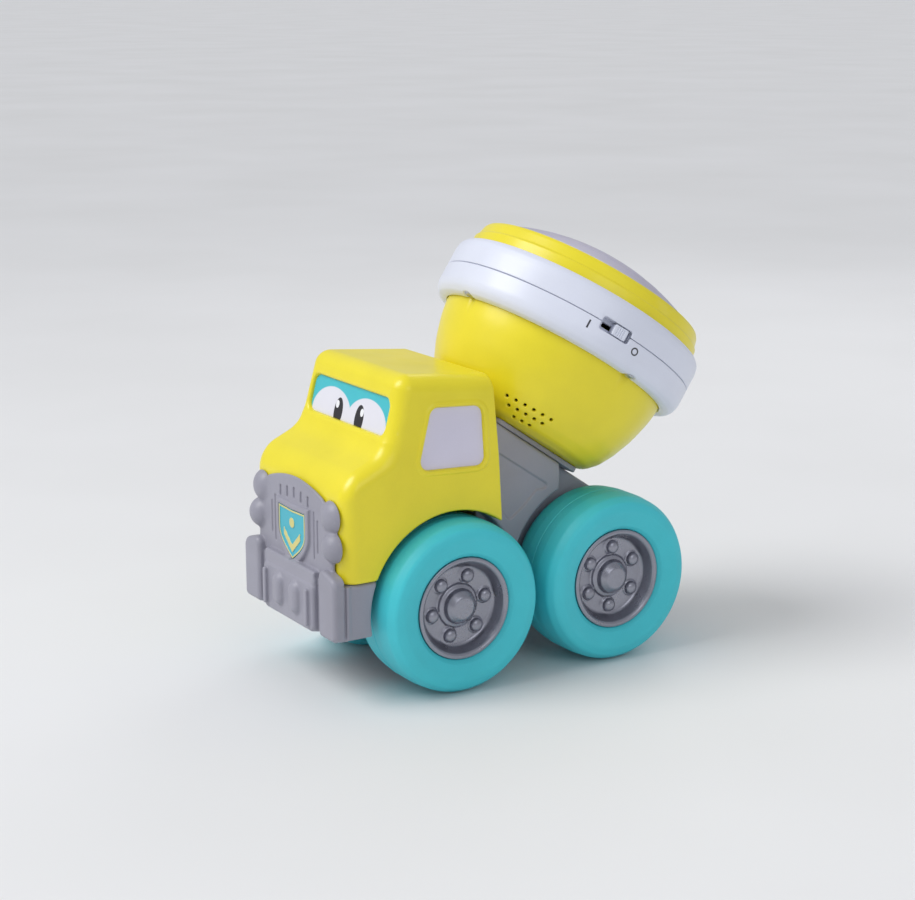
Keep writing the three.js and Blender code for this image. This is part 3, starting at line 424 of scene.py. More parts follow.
YELLOW = linear(238, 222, 40)
moulded("yellow_shell", YELLOW, 0.33, vary=0.035, soft=0.05, coat=0.12)
moulded("cool_white", linear(222, 226, 240), 0.36, vary=0.02, coat=0.08)
moulded("mid_grey", linear(152, 151, 163), 0.42, vary=0.05, grain=0.25)
moulded("turquoise_wheel", linear(66, 200, 212), 0.46, vary=0.04, grain=0.2)
moulded("silver_hub", linear(152, 153, 164), 0.27, vary=0.05, metal=0.85, flakes=0.06, wear_and_edge_highlight=0.2)
moulded("window_panel", linear(216, 212, 230), 0.42, vary=0.03, grain=0.1)
moulded("windscreen", linear(226, 226, 238), 0.32, vary=0.015, paint=screen_print)
moulded("crest", linear(60, 178, 196), 0.35, vary=0.04, coat=0.1)
moulded("crest_border", linear(214, 206, 130), 0.4, vary=0.04)
moulded("pad_translucent", linear(178, 173, 193), 0.34, vary=0.03, soft=0.35)
moulded("orange_key", linear(222, 112, 44), 0.35, vary=0.04, soft=0.05)
moulded("steel", linear(190, 190, 194), 0.34, vary=0.08, metal=1.0, flakes=0.05, wear_and_edge_highlight=0.3)
moulded("board", linear(38, 110, 62), 0.5, vary=0.12)
moulded("dark_plastic", linear(38, 38, 42), 0.5, vary=0.12, grain=0.3)
moulded("cell_wrap", linear(176, 120, 60), 0.34, vary=0.05, metal=0.3)
moulded("led", linear(240, 238, 228), 0.15, vary=0.02, clear=0.6)
moulded("mark", linear(40, 42, 50), 0.5, vary=0.1)


# ---------- pieces ----------
def apply(obj):
    """Makes the result of an object's modifiers its own mesh."""
    graph = bpy.context.evaluated_depsgraph_get()
    made = bpy.data.meshes.new_from_object(obj.evaluated_get(graph), depsgraph=graph)
    obj.modifiers.clear()
    old = obj.data
    obj.data = made
    bpy.data.meshes.remove(old)
    return obj


def settle(obj, body, slot, *nodes):
    """Gives a piece its material, and says which body it rides and which nodes it stands for."""
    obj.data.materials.clear()
    obj.data.materials.append(MATERIALS[slot])
    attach(obj, body)
    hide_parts(*nodes)
    return obj


def new_object(name, verts, faces):
    mesh = bpy.data.meshes.new(name)
    mesh.from_pydata(verts, [], faces)
    mesh.validate()
    mesh.shade_smooth()
    obj = bpy.data.objects.new(name, mesh)
    bpy.context.scene.collection.objects.link(obj)
    return obj


def moulding(name, field, axes, place, target):
    """Mesh piece from a field: skinned, thinned to about target triangles, with exact normals."""
    points, quads = skin(field, axes)
    obj = new_object(name, points.tolist(), quads.tolist())
    ratio = target / (2 * len(quads))
    if ratio < 0.95:
        thin = obj.modifiers.new("thin", "DECIMATE")
        thin.ratio = ratio
        apply(obj)
    mesh = obj.data
    co = np.empty(len(mesh.vertices) * 3, np.float32)
    mesh.vertices.foreach_get("co", co)
    co = co.reshape(-1, 3).astype(float)
    normal = slope(field, axes, co)
    rotation = np.array(place.to_3x3())
    mesh.transform(Matrix.Scale(MM, 4) @ place)
    mesh.shade_smooth()
    mesh.normals_split_custom_set_from_vertices((normal @ rotation.T).tolist())
    return obj


def cast(name, field, axes, place, target, *words):
    """A moulding that is settled at once."""
    return settle(moulding(name, field, axes, place, target), *words)


def spun(name, outline, place, sides):
    """Turned piece straight from a closed (radius, height) outline."""
    points = [(max(r, 0.0), h) for r, h in outline]
    verts, faces = [], []
    rows = []
    for r, h in points:
        if r < 1e-6:
            rows.append([len(verts)] * sides)
            verts.append((0, 0, h))
        else:
            rows.append(list(range(len(verts), len(verts) + sides)))
            for k in range(sides):
                a = 2 * math.pi * k / sides
                verts.append((r * math.cos(a), r * math.sin(a), h))
    count = len(rows)
    for i in range(count):
        a, b = rows[i], rows[(i + 1) % count]
        if a[0] == a[1] and b[0] == b[1]:
            continue
        for k in range(sides):
            q = [a[k], a[(k + 1) % sides], b[(k + 1) % sides], b[k]]
            f = [q[0]] + [q[n] for n in range(1, 4) if q[n] not in q[:n]]
            if len(f) > 2:
                faces.append(f)
    area = sum(p[0] * q[1] - q[0] * p[1] for p, q in zip(points, points[1:] + points[:1]))
    if area < 0:
        faces = [f[::-1] for f in faces]
    obj = new_object(name, verts, faces)
    obj.data.transform(Matrix.Scale(MM, 4) @ place)
    obj.data.set_sharp_from_angle(angle=math.radians(42))
    return obj


# ---------- cab ----------
CAB_HALF = 47.5
CAB_WALL = 2.4
ARCH = 47.3
BUMPER_TOP = 62.4
HOOD_X = 61.5
ABOVE_BUMPER = BUMPER_TOP + GAP
SCREEN = [(-38.4, -8.2), (38.4, -8.2), (38.4, 10.4), (-38.4, 10.4)]
SCREEN_DEEP = 2.0
WINDOW = [(19.9, 114.3), (11.6, 144), (-16.9, 142.2), (-17.9, 112.6)]
WINDOW_DEEP = 1.2
LEAN_FROM = 116
WINDOW_LEAN = math.atan2(2, 34)


def grow(points, d):
    """Moves the corners of a four-cornered outline outwards by d in both directions."""
    cx = sum(p[0] for p in points) / 4
    cy = sum(p[1] for p in points) / 4
    return [(x + math.copysign(d, x - cx), y + math.copysign(d, y - cy)) for x, y in points]


def on_screen(axes):
    x, y, z = axes
    c, s = math.cos(SCREEN_LEAN), math.sin(SCREEN_LEAN)
    dx, dz = x - SCREEN_AT[0], z - SCREEN_AT[2]
    return y, dz * c - dx * s, dx * c + dz * s


def on_window(axes):
    """Along the wall, up the wall, and out of it, for either side window."""
    x, y, z = axes
    c, s = math.cos(WINDOW_LEAN), math.sin(WINDOW_LEAN)
    dy, dz = np.abs(y) - CAB_HALF, z - LEAN_FROM
    return x, dz * c - dy * s + LEAN_FROM, dy * c + dz * s


def cab():
    axes = grid((-31, -48, 44), (63, 48, 162), 0.55)
    x, y, z = axes
    side = np.abs(y)

    def plane(nx, nz, at, out):
        size = math.hypot(nx, nz)
        return (nx * (x - at[0]) + nz * (z - at[1])) / size - out

    rear = (cab_rear(z) - x) / math.hypot(1, 5.5 / 90)
    roof = plane(-3.8, 40, (-17.5, 150), 7)
    screen = both(plane(25.8, 6.5, (22.5, 153.8), 7), x - 36)
    lean = math.cos(WINDOW_LEAN) * (side - CAB_HALF) + math.sin(WINDOW_LEAN) * (z - LEAN_FROM)
    walls = -merge(CAB_HALF - side, -lean, 0.5)
    upper = meet(7, roof, screen)
    top = plane(12.6, 26.5, (52.5, 107), 9)
    hood = both(meet(9.5, top, x - HOOD_X), 2 - x)
    body = meet(8, merge(upper, hood, 9), walls)
    body = meet(1.2, body, rear)
    shell = both(body, -(body + CAB_WALL))
    u, v, w = on_screen(axes)
    quad = polygon(fillet(grow(SCREEN, 1.6), 5), u, v)
    shell = merge(shell, both(meet(0.4, quad, slab(w, -SCREEN_DEEP - 3.9, 3)), body))
    a, b, c = on_window(axes)
    quad = polygon(fillet(grow(WINDOW, 1.6), 5), a, b)
    shell = merge(shell, both(meet(0.4, quad, slab(c, -WINDOW_DEEP - 3.5, 3)), body))
    # Posts for the two screws that hold the cab down.
    for at in (41, -8):
        beam = box(axes, (at - 4, -46.5, 96), (at + 4, 46.5, 99.2))
        leg = meet(0.5, disc(x - at, y, 4), slab(z, 74.4, 98))
        shell = merge(shell, both(merge(beam, leg, 1.5), body))
    quad = polygon(fillet(SCREEN, 4.8), u, v)
    shell = carve(shell, both(quad, -SCREEN_DEEP - 2.3 - w), 2.2)
    quad = polygon(fillet(WINDOW, 4.6), a, b)
    lip = meet(0.8, np.abs(quad - 1.5) - 1.3, slab(c, -1, 0.55))
    shell = merge(shell, lip, 1.0)
    shell = carve(shell, both(quad, -WINDOW_DEEP - 1.9 - c), 1.8)
    arch = both(disc(x, z - WHEEL_Z, ARCH), 22 - side)
    shell = carve(shell, arch, 1.2)
    below = np.minimum(
        both(38 - x, z - ABOVE_BUMPER),
        both(x + 12, z - 81),
    )
    shell = carve(shell, below, 1.2)
    return carve(shell, box(axes, (-40, -23, 0), (39, 23, 74.4), 0.2)), axes


def build_cab():
    field, axes = cab()
    return cast("cab", field, axes, TRUCK, 90000, "chassis", "yellow_shell", "cab_shell")


def build_windows():
    axes = grid((22, -38.5, 129), (36, 38.5, 151), 0.4)
    u, v, w = on_screen(axes)
    quad = polygon(fillet(grow(SCREEN, -GAP), 4.5), u, v)
    field = meet(0.35, quad, slab(w, -SCREEN_DEEP - 2, -SCREEN_DEEP))
    cast("windscreen", field, axes, TRUCK, 16000, "chassis", "windscreen", "windscreen_panel")
    for name, s in (("left", 1), ("right", -1)):
        low, high = sorted((s * 40, s * 47.5))
        axes = grid((-19, low, 111), (21, high, 146), 0.4)
        a, b, c = on_window(axes)
        quad = polygon(fillet(grow(WINDOW, -GAP), 4.3), a, b)
        field = meet(0.35, quad, slab(c, -WINDOW_DEEP - 1.6, -WINDOW_DEEP))
        cast("window_" + name, field, axes, TRUCK, 12000, "chassis", "window_panel", "side_window_" + name)


# ---------- grille and bumper ----------
BUMPER_X = 66.8
PLATE_BACK = HOOD_X + GAP
PLATE_FRONT = PLATE_BACK + 1.8


def curve(start, control, end, steps=10):
    """Points along a quadratic curve, without its start."""
    made = []
    for k in range(1, steps + 1):
        t = k / steps
        made.append(
            tuple((1 - t) ** 2 * s + 2 * t * (1 - t) * c + t * t * e for s, c, e in zip(start, control, end))
        )
    return made


def shield(d=0.0):
    half, top, tip = 13.6 + d, 90.5 + d, 65.5 - 1.25 * d
    right = [(0, top), (half, top + 0.5), (half, 80)]
    for k in range(1, 13):
        t = k / 12
        w = ((1 - t) ** 3, 3 * t * (1 - t) ** 2, 3 * t * t * (1 - t), t**3)
        ys = (half, half, half * 0.55, 0)
        zs = (80, 74, tip + 5, tip)
        right.append((sum(a * b for a, b in zip(w, ys)), sum(a * b for a, b in zip(w, zs))))
    return right + [(-y, z) for y, z in right[-2:0:-1]]


def grille_outline():
    right = [(41, 60), (41, 62.6)]
    right += curve((41, 62.6), (38, 69), (39, 74))
    right += [(36, 96), (28, 102.4)]
    right += curve((28, 102.4), (14, 107.2), (0, 107.4))
    return right + [(-y, z) for y, z in right[-2::-1]]


def build_front():
    axes = grid((43, -48, 34), (72, 48, 108), 0.45)
    x, y, z = axes
    side = np.abs(y)
    plate = meet(0.9, polygon(grille_outline(), y, z), slab(x, PLATE_BACK, PLATE_FRONT))
    upper = egg((x, side, z), (PLATE_BACK - 2, 36, 94.8), (7, 8.7, 8.7))
    lower = egg((x, side, z), (PLATE_BACK - 0.5, 38.4, 80.4), (7, 7.8, 7.8))
    body = merge(merge(plate, upper, 1.6), lower, 1.6)
    collar = meet(1.1, polygon(shield(3.4), y, z), slab(x, 60, PLATE_BACK + 3.6))
    body = merge(body, collar, 1.0)
    # Bumper beam, its centre block, step, corner posts and lamps.
    plan = polygon(fillet([(30, -47.5), (BUMPER_X, -47.5), (BUMPER_X, 47.5), (30, 47.5)], 6), x, y)
    beam = meet(2.2, plan, slab(z, 34.7, BUMPER_TOP))
    beam = carve(beam, box(axes, (0, -44.7, 0), (63.6, 44.7, 60)))
    beam = carve(beam, box(axes, (0, -44.7, 0), (58.8, 44.7, 80)))
    groove = both(slab(side, 26.2, 31.8), 65 - x)
    beam = carve(beam, groove, 1.2)
    centre_block = meet(1.8, polygon(rect(26.3, 12.4, 3.2, (0, 47)), y, z), slab(x, 60, 68.3))
    step = meet(1.2, polygon(rect(26, 3.4, 1.6, (0, 62.2)), y, z), slab(x, 60, 67.4))
    body = merge(merge(merge(body, beam, 0.5), centre_block, 0.8), step, 1.2)
    face = fillet([(31.5, 34.9), (48, 34.9), (48, 66), (31.5, 70)], [2.5, 3, 5, 4])
    post = meet(2.4, polygon(face, side, z), slab(x, 58, 68.2))
    body = merge(body, post, 0.9)
    fog = meet(4.0, polygon(rect(5.2, 8.8, 5.1, (8.6, 48.4)), side, z), slab(x, 60, 71))
    rib = meet(0.8, polygon(rect(1.5, 9.5, 1.3, (22, 47)), side, z), slab(x, 64, 70.4))
    body = merge(merge(body, fog, 1.0), rib, 0.8)
    # A crease parts each corner post from the side return.
    crease = both(both(np.abs(x - 61.6) - 0.5, 46.7 - side), z - BUMPER_TOP - 1)
    body = carve(body, crease, 1.0)
    body = carve(body, both(polygon(shield(GAP), y, z), PLATE_BACK + 1.3 - x), 0.6)
    for k in range(-2, 3):
        top = 98.6 - abs(k) * 0.8
        slot = polygon(rect(1.0, 2.9, 0.95, (k * 7.2, top + 0.4)), y, z)
        body = carve(body, both(slot, PLATE_BACK + 0.9 - x), 0.6)
    # Long upright flutes beside the badge.
    for at in (20.4, 24.0):
        flute = polygon(rect(0.7, 12 - abs(at - 20.4), 0.65, (at, 82)), side, z)
        body = carve(body, both(flute, PLATE_FRONT - 0.7 - x), 0.5)
    arch = disc(x, z - WHEEL_Z, ARCH)
    body = carve(body, arch, 1.0)
    body = both(body, 44 - x)
    body = both(body, np.minimum(PLATE_BACK - x, z - BUMPER_TOP))
    body = carve(body, box(axes, (30, -34, BUMPER_TOP - 0.05), (PLATE_BACK, 34, 120), 0.1))
    cast("grille_and_bumper", body, axes, TRUCK, 90000, "chassis", "mid_grey", "front_moulding")


def build_crest():
    back = PLATE_BACK + 1.3 + GAP
    axes = grid((back - 1, -15, 64), (back + 2.5, 15, 93), 0.28)
    x, y, z = axes
    outline = polygon(shield(), y, z)
    body = meet(0.3, outline, slab(x, back, back + 1.8))
    body = carve(body, both(outline + 1.0, back + 1.35 - x), 0.25)
    # A plain chevron and a round boss stand in the field.
    chevron = np.abs(z - 77.5 + (7.5 - np.abs(y)) * 0.9) / 1.35 - 1.5
    chevron = both(chevron, np.abs(y) - 8.6)
    raised = np.minimum(chevron, disc(y, z - 84, 2.6))
    raised = meet(0.25, both(raised, outline + 2.3), slab(x, back + 0.5, back + 1.8))
    body = merge(body, raised, 0.25)
    piece = cast("crest", body, axes, TRUCK, 24000, "chassis", "crest", "crest_badge")
    # The border and the raised figures carry a second, pale print.
    mesh = piece.data
    mesh.materials.append(MATERIALS["crest_border"])
    height = (FRONT_AXLE + back + 1.62) * MM
    for p in mesh.polygons:
        if p.center.x > height:
            p.material_index = 1


# ---------- chassis ----------
SPINE = 21.0
WEDGE = 30.0
DECK = -66.0


def slope_z(w, x):
    return 165.4 + (w + math.sin(TILT) * (x + 99.1)) / math.cos(TILT)


def cab_rear(z):
    return -30 + 5.5 * (z - 60) / 90


def build_chassis():
    axes = grid((-151, -31, 32), (58, 31, 138), 0.75)
    x, y, z = axes
    side = np.abs(y)
    rear_face = lambda h: cab_rear(h) - 0.5
    spine = [
        (57.6, 33.3), (57.6, 66), (50, 74), (rear_face(74), 74),
        (rear_face(130), slope_z(DECK, rear_face(130))),
        (-131, slope_z(DECK, -131)), (-147.5, 62.5), (-150, 59.5), (-148.5, 33.3),
    ]
    wedge = [
        (rear_face(60), 60),
        (rear_face(130), slope_z(DECK, rear_face(130))),
        (-75.5, slope_z(DECK, -75.5)), (-75.5, 60),
    ]
    d_spine = polygon(fillet(spine, [0.2, 3, 3, 1, 1, 2, 2, 2, 0.5]), x, z)
    d_wedge = polygon(fillet(wedge, [0.5, 1.5, 2.5, 0.5]), x, z)
    d_wedge = both(d_wedge, -disc(x, z - WHEEL_Z, ARCH + 1))
    d_wedge = both(d_wedge, -disc(x + WHEELBASE, z - WHEEL_Z, ARCH))
    outer = merge(meet(1.0, d_spine, side - SPINE), meet(1.6, d_wedge, side - WEDGE), 1.0)
    inner = np.minimum(
        both(d_spine + 2.4, side - SPINE + 2.4), both(d_wedge + 2.4, side - WEDGE + 2.4)
    )
    inner = np.minimum(inner, both(both(slab(x, -147, 55.2), side - 18.6), z - 40))
    body = carve(outer, inner)
    panel = fillet(
        [
            (-35.5, slope_z(DECK - 12.5, -35.5)), (-35.5, 88), (-44, 76), (-52, 81.5), (-61, 90),
            (-70.5, slope_z(DECK - 12.5, -70.5)),
        ],
        2.0,
    )
    body = carve(body, both(polygon(panel, x, z), WEDGE - 0.9 - side), 0.7)
    # Bearing ribs and screw posts inside.
    for at in (0, -WHEELBASE):
        rib = both(slab(x, at - 4, at + 4), np.abs(side - 14) - 1.6)
        rib = both(rib, WHEEL_Z + 0.15 - z)
        body = merge(body, both(rib, outer + 0.5))
        body = carve(body, both(disc(x - at, z - WHEEL_Z, 2.9), 60 - 99 + side))
        body = carve(body, box(axes, (at - 2.9, -40, 20), (at + 2.9, 40, WHEEL_Z), 0.2))
    for at in (27, -46.5, -125):
        post = both(disc(x - at, y, 4.2), 39.6 - z)
        body = merge(body, both(post, outer + 0.5))
        body = carve(body, both(disc(x - at, y, 1.65), z - 57))
    for at in (41, -8):
        body = carve(body, both(disc(x - at, y, 1.9), slab(z, 60, 80)))
    # Cradle screw posts square to the deck.
    c, s = math.cos(TILT), math.sin(TILT)
    u = (x + 99.1) * c + (z - 165.4) * s
    w = -(x + 99.1) * s + (z - 165.4) * c
    post = both(disc(u, side - 12, 3.6), slab(w, DECK - 12, DECK - 1))
    body = merge(body, both(post, outer + 0.5))
    body = carve(body, both(disc(u, side - 12, 1.65), slab(w, DECK - 12, DECK + 5)))
    cast("chassis", body, axes, TRUCK, 60000, "chassis", "mid_grey", "chassis_body")


def build_pan():
    axes = grid((-149, -21.5, 29.5), (58, 21.5, 44.5), 0.6)
    x, y, z = axes
    side = np.abs(y)
    plan = polygon(fillet([(57.4, -21), (57.4, 21), (-148.4, 21), (-148.4, -21)], 3.5), x, y)
    body = meet(0.8, plan, slab(z, 30, 33))
    # Shallow stiffening grooves under the pan, clear of the screws.
    for at in (8, 15):
        ring = np.abs(side - at) - 0.6
        for a, b in ((-38, -10), (8, 20), (34, 50), (-140, -132), (-118, -102), (-86, -54)):
            body = carve(body, both(both(ring, slab(x, a, b)), z - 30.5), 0.4)
    for at in (0, -WHEELBASE):
        saddle = box((x, side, z), (at - 4, 12.4, 32), (at + 4, 15.6, WHEEL_Z - 0.15), 0.4)
        body = merge(body, saddle, 0.8)
        body = carve(body, both(disc(x - at, z - WHEEL_Z, 2.9), side - 40))
    for at in (27, -46.5, -125):
        boss = both(disc(x - at, y, 4.2), slab(z, 32, 39.3))
        body = merge(body, boss, 0.8)
        body = carve(body, both(disc(x - at, y, 3.2), z - 32.4), 0.4)
        body = carve(body, both(disc(x - at, y, 1.65), z - 50))
    cast("base_pan", body, axes, TRUCK, 36000, "chassis", "mid_grey", "base_plate")


# ---------- screws and axles ----------
def screw_mesh(name, head, head_tall, length, place):
    """Pan head screw, head down at zero, with a cross recess and a rolled thread."""
    axes = grid((-head, -head, 0), (head, head, length), 0.16)
    x, y, z = axes
    dome = egg(axes, (0, 0, head_tall), (head, head, head_tall * 1.02))
    body = both(dome, z - head_tall)
    turn = np.arctan2(y, x)
    pitch = 1.25
    phase = np.mod(z / pitch - turn / (2 * math.pi), 1.0)
    thread = 0.26 * (1 - 2 * np.abs(phase - 0.5))
    taper = np.clip((length - z) / 2.2, 0, 1)
    shank = both(disc(x, y, 0) - (1.14 + thread) * taper, slab(z, head_tall - 0.2, length))
    body = np.minimum(body, shank)
    cross = np.minimum(
        both(np.abs(x) - 0.34, np.abs(y) - 1.5), both(np.abs(y) - 0.34, np.abs(x) - 1.5)
    )
    body = carve(body, both(cross, z - head_tall * 0.8), 0.12)
    return moulding(name, body, axes, place, 7000)


def build_screws():
    over = rotate(math.pi, "X")
    for i, at in enumerate((27, -46.5, -125)):
        place = TRUCK @ shift(at, 0, 30.5)
        piece = screw_mesh(f"pan_screw_{i + 1}", 2.9, 1.6, 18, place)
        settle(piece, "chassis", "steel", f"base_screw_{i + 1}")
    for i, at in enumerate((41, -8)):
        place = TRUCK @ shift(at, 0, 74 - 2.4 - 1.8 - GAP)
        piece = screw_mesh(f"cab_fixing_{i + 1}", 3.2, 1.8, 16, place)
        settle(piece, "chassis", "steel", f"cab_screw_{i + 1}")
    for i, at in enumerate((12, -12)):
        place = DRUM @ shift(0, at, -55.2 - 5 + GAP + 1.8) @ over
        piece = screw_mesh(f"cradle_fixing_{i + 1}", 2.9, 1.8, 14, place)
        settle(piece, "chassis", "steel", f"cradle_screw_{i + 1}")
    for i, turn in enumerate((3, 91, 183, 271)):
        place = DRUM @ rotate(math.radians(turn)) @ shift(65.3, 0, -16)
        piece = screw_mesh(f"ring_fixing_{i + 1}", 2.8, 1.3, 16, place)
        settle(piece, "drum", "steel", f"ring_screw_{i + 1}")


def build_axles():
    reach = 46.5
    outline = fillet([(0, -reach), (2.5, -reach), (2.5, reach), (0, reach)], [0, 0.5, 0.5, 0])
    for name, at in (("front", FRONT_AXLE), ("rear", REAR_AXLE)):
        place = shift(at, 0, WHEEL_Z) @ rotate(-math.pi / 2, "X")
        piece = spun(f"axle_{name}", outline, place, 40)
        settle(piece, name + "_wheels", "steel", name + "_axle")


# ---------- wheels ----------
WHEEL_R = 44.0
HALF = 19.0
HUB_R = 26.0


def tyre_outline():
    points = [
        (2.7, 0.5, 0.2), (HUB_R + 0.2, 0.5, 0.4), (HUB_R + 0.2, HALF - 4.4, 0.4),
        (HUB_R + 2.2, HALF - 2.4, 1.6), (WHEEL_R - 8, HALF, 6), (WHEEL_R - 3.4, HALF - 1.2, 3.5),
        (WHEEL_R - 0.8, HALF - 5.4, 6), (WHEEL_R, HALF - 13, 8), (WHEEL_R, 0.45, 0.15),
        (WHEEL_R - 0.22, 0.2, 0.05), (WHEEL_R - 0.22, -0.2, 0.05), (WHEEL_R, -0.45, 0.15),
        (WHEEL_R, -HALF + 13, 8), (WHEEL_R - 0.8, -HALF + 5.4, 6), (WHEEL_R - 4, -HALF + 0.6, 2),
        (WHEEL_R - 7.5, -HALF + 0.6, 1.2), (WHEEL_R - 3.2, -HALF + 9, 3),
        (WHEEL_R - 3.2, HALF - 9, 4), (WHEEL_R - 8, HALF - 3.2, 2), (HUB_R + 2.9, HALF - 5.2, 1.2),
        (HUB_R + 2.9, -2, 0.8), (6.5, -2, 1.2), (6.5, -HALF + 0.5, 0.6), (2.7, -HALF + 0.5, 0.2),
    ]
    return fillet([p[:2] for p in points], [p[2] for p in points], 5)


def hub_field():
    rim = HALF - 3
    axes = grid((-26.2, -26.2, 0.5), (26.2, 26.2, rim + 0.5), 0.36)
    x, y, w = axes
    points = [
        (0, rim - 0.5, 0), (5.6, rim - 1.1, 2.5), (8.4, rim - 3.4, 1.4), (8.9, rim - 6.0, 0.8),
        (11.0, rim - 6.6, 0.8), (11.4, rim - 8.0, 1.2), (20.6, rim - 7.2, 2.5),
        (23.2, rim - 1.2, 0.8), (24.2, rim - 0.3, 0.6), (HUB_R, rim - 0.6, 0.5), (HUB_R, 1, 0.3),
        (HUB_R - 2, 1, 0.3), (HUB_R - 3.4, rim - 9.0, 1.5), (7.6, rim - 9.8, 0.8),
        (5.6, rim - 4.6, 0.8), (0, rim - 3.4, 0),
    ]
    outline = fillet([p[:2] for p in points], [p[2] for p in points], 5)
    body = turned(outline, x, y, w)
    for k in range(6):
        a = math.radians(60 * k)
        px, py = 15.6 * math.cos(a), 15.6 * math.sin(a)
        lug = merge(
            egg((x, y, w), (px, py, rim - 5.8), (3.35, 3.35, 1.9)),
            both(disc(x - px, y - py, 3.35), slab(w, rim - 9, rim - 5.8)),
            0.3,
        )
        collar = both(disc(x - px, y - py, 4.1), slab(w, rim - 9, rim - 7.2))
        body = merge(body, merge(lug, collar, 0.5), 0.7)
    return body, axes


def build_wheels():
    outline = tyre_outline()
    field, axes = hub_field()
    hub = moulding("hub_pattern", field, axes, Matrix.Identity(4), 36000)
    for name, at, s in (
        ("front_left", FRONT_AXLE, 1), ("front_right", FRONT_AXLE, -1), ("rear_left", REAR_AXLE, 1),
        ("rear_right", REAR_AXLE, -1),
    ):
        place = shift(at, s * TRACK, WHEEL_Z) @ rotate(-s * math.pi / 2, "X")
        body = name.split("_")[0] + "_wheels"
        tyre = spun("wheel_" + name, outline, place, 112)
        settle(tyre, body, "turquoise_wheel", "tyre_" + name)
        # Wheels stand at different turns, as they stop anywhere.
        turn = {"front_left": 11, "front_right": 40, "rear_left": 27, "rear_right": 3}[name]
        piece = bpy.data.objects.new("rim_" + name, hub.data.copy())
        bpy.context.scene.collection.objects.link(piece)
        where = Matrix.Scale(MM, 4) @ place @ rotate(math.radians(turn)) @ Matrix.Scale(1 / MM, 4)
        normals = [tuple((where.to_3x3() @ n.vector).normalized()) for n in piece.data.corner_normals]
        piece.data.transform(where)
        piece.data.normals_split_custom_set(normals)
        settle(piece, body, "silver_hub", "hub_" + name)
    bpy.data.objects.remove(hub)


# ---------- drum ----------
RING = 71.0
BOWL_TOP = 62.5
BOWL_LOW = -62.6
SOCKET_TOP = -54.2
RING_SCREWS = [math.radians(a) for a in (3, 91, 183, 271)]
SWITCH_TURN = math.radians(73)
SEAM = 0.12


def spin(axes, a):
    """Axes turned about the drum's axis so that direction a lies along the first."""
    u, v, w = axes
    return u * math.cos(a) + v * math.sin(a), v * math.cos(a) - u * math.sin(a), w


def drum_grid(r, low, high, step):
    return grid((-r, -r, low), (r, r, high), step)


BOWL = [
    (0, BOWL_LOW, 0), (37, BOWL_LOW, 6), (44, BOWL_LOW + 2.2, 8), (49, BOWL_LOW + 7.4, 14),
    (53.4, BOWL_LOW + 15, 30), (58, BOWL_LOW + 26, 60), (61.4, BOWL_LOW + 38.5, 60),
    (BOWL_TOP, -15.8, 4), (BOWL_TOP, -12.9, 0.4), (68.2, -12.9, 0.4), (68.2, -10.9, 0.4),
    (58, -10.9, 0.4), (58, -13, 0.4), (BOWL_TOP - 2.4, -15, 3), (59, BOWL_LOW + 38.5, 50),
    (55.6, BOWL_LOW + 26.5, 50), (51, BOWL_LOW + 16, 24), (46.8, BOWL_LOW + 8.6, 12),
    (42.8, BOWL_LOW + 4.4, 6), (36.4, BOWL_LOW + 2.4, 5), (0, BOWL_LOW + 2.4, 0),
]


def bowl_radius(w):
    for (r0, h0, _), (r1, h1, _) in zip(BOWL[1:7], BOWL[2:8]):
        if w <= h1:
            return r0 + (r1 - r0) * (w - h0) / (h1 - h0)
    return BOWL_TOP


def outline_of(rows, steps=6):
    return fillet([p[:2] for p in rows], [p[2] for p in rows], steps)


def build_bowl():
    axes = drum_grid(68.5, BOWL_LOW, -10.5, 0.6)
    u, v, w = axes
    body = turned(outline_of(BOWL), u, v, w)
    wall = both(polygon(rect(30, 27, 5), u, v), slab(w, BOWL_LOW, SOCKET_TOP + 2))
    body = merge(body, wall, 0.8)
    body = carve(body, both(polygon(rect(28, 25, 4), u, v), w - SOCKET_TOP), 1.0)
    body = carve(body, both(polygon(rect(26.5, 23.5, 3), u, v), slab(w, -58, -46)), 0.3)
    for a in RING_SCREWS:
        p, q, h = spin(axes, a)
        body = carve(body, both(disc(p - 65.3, q, 1.7), slab(h, -20, 0)))
        body = carve(body, both(disc(p - 65.3, q, 3.6), h + 13.2), 0.8)
    for row, count, first in ((0, 6, 43), (1, 5, 46), (2, 3, 51.8)):
        for k in range(count):
            low = BOWL_LOW + 10 - row * 3.6
            p, q, h = spin(axes, math.radians(first + k * 5.8))
            p, h = p - bowl_radius(low), h - low
            c, s = math.cos(0.5), math.sin(0.5)
            along, across = p * c - h * s, p * s + h * c
            body = carve(body, both(disc(across, q, 0.9), np.abs(along) - 6), 0.4)
    cast("bowl", body, axes, DRUM, 80000, "drum", "yellow_shell", "drum_bowl")


def switch_opening(axes, tall=3.4, grow_by=0.0):
    p, q, h = spin(axes, SWITCH_TURN)
    hole = polygon(rect(8.6 + grow_by, tall + grow_by, 1.3 + grow_by, (0, -0.4)), q, h)
    return both(hole, 60 - p)


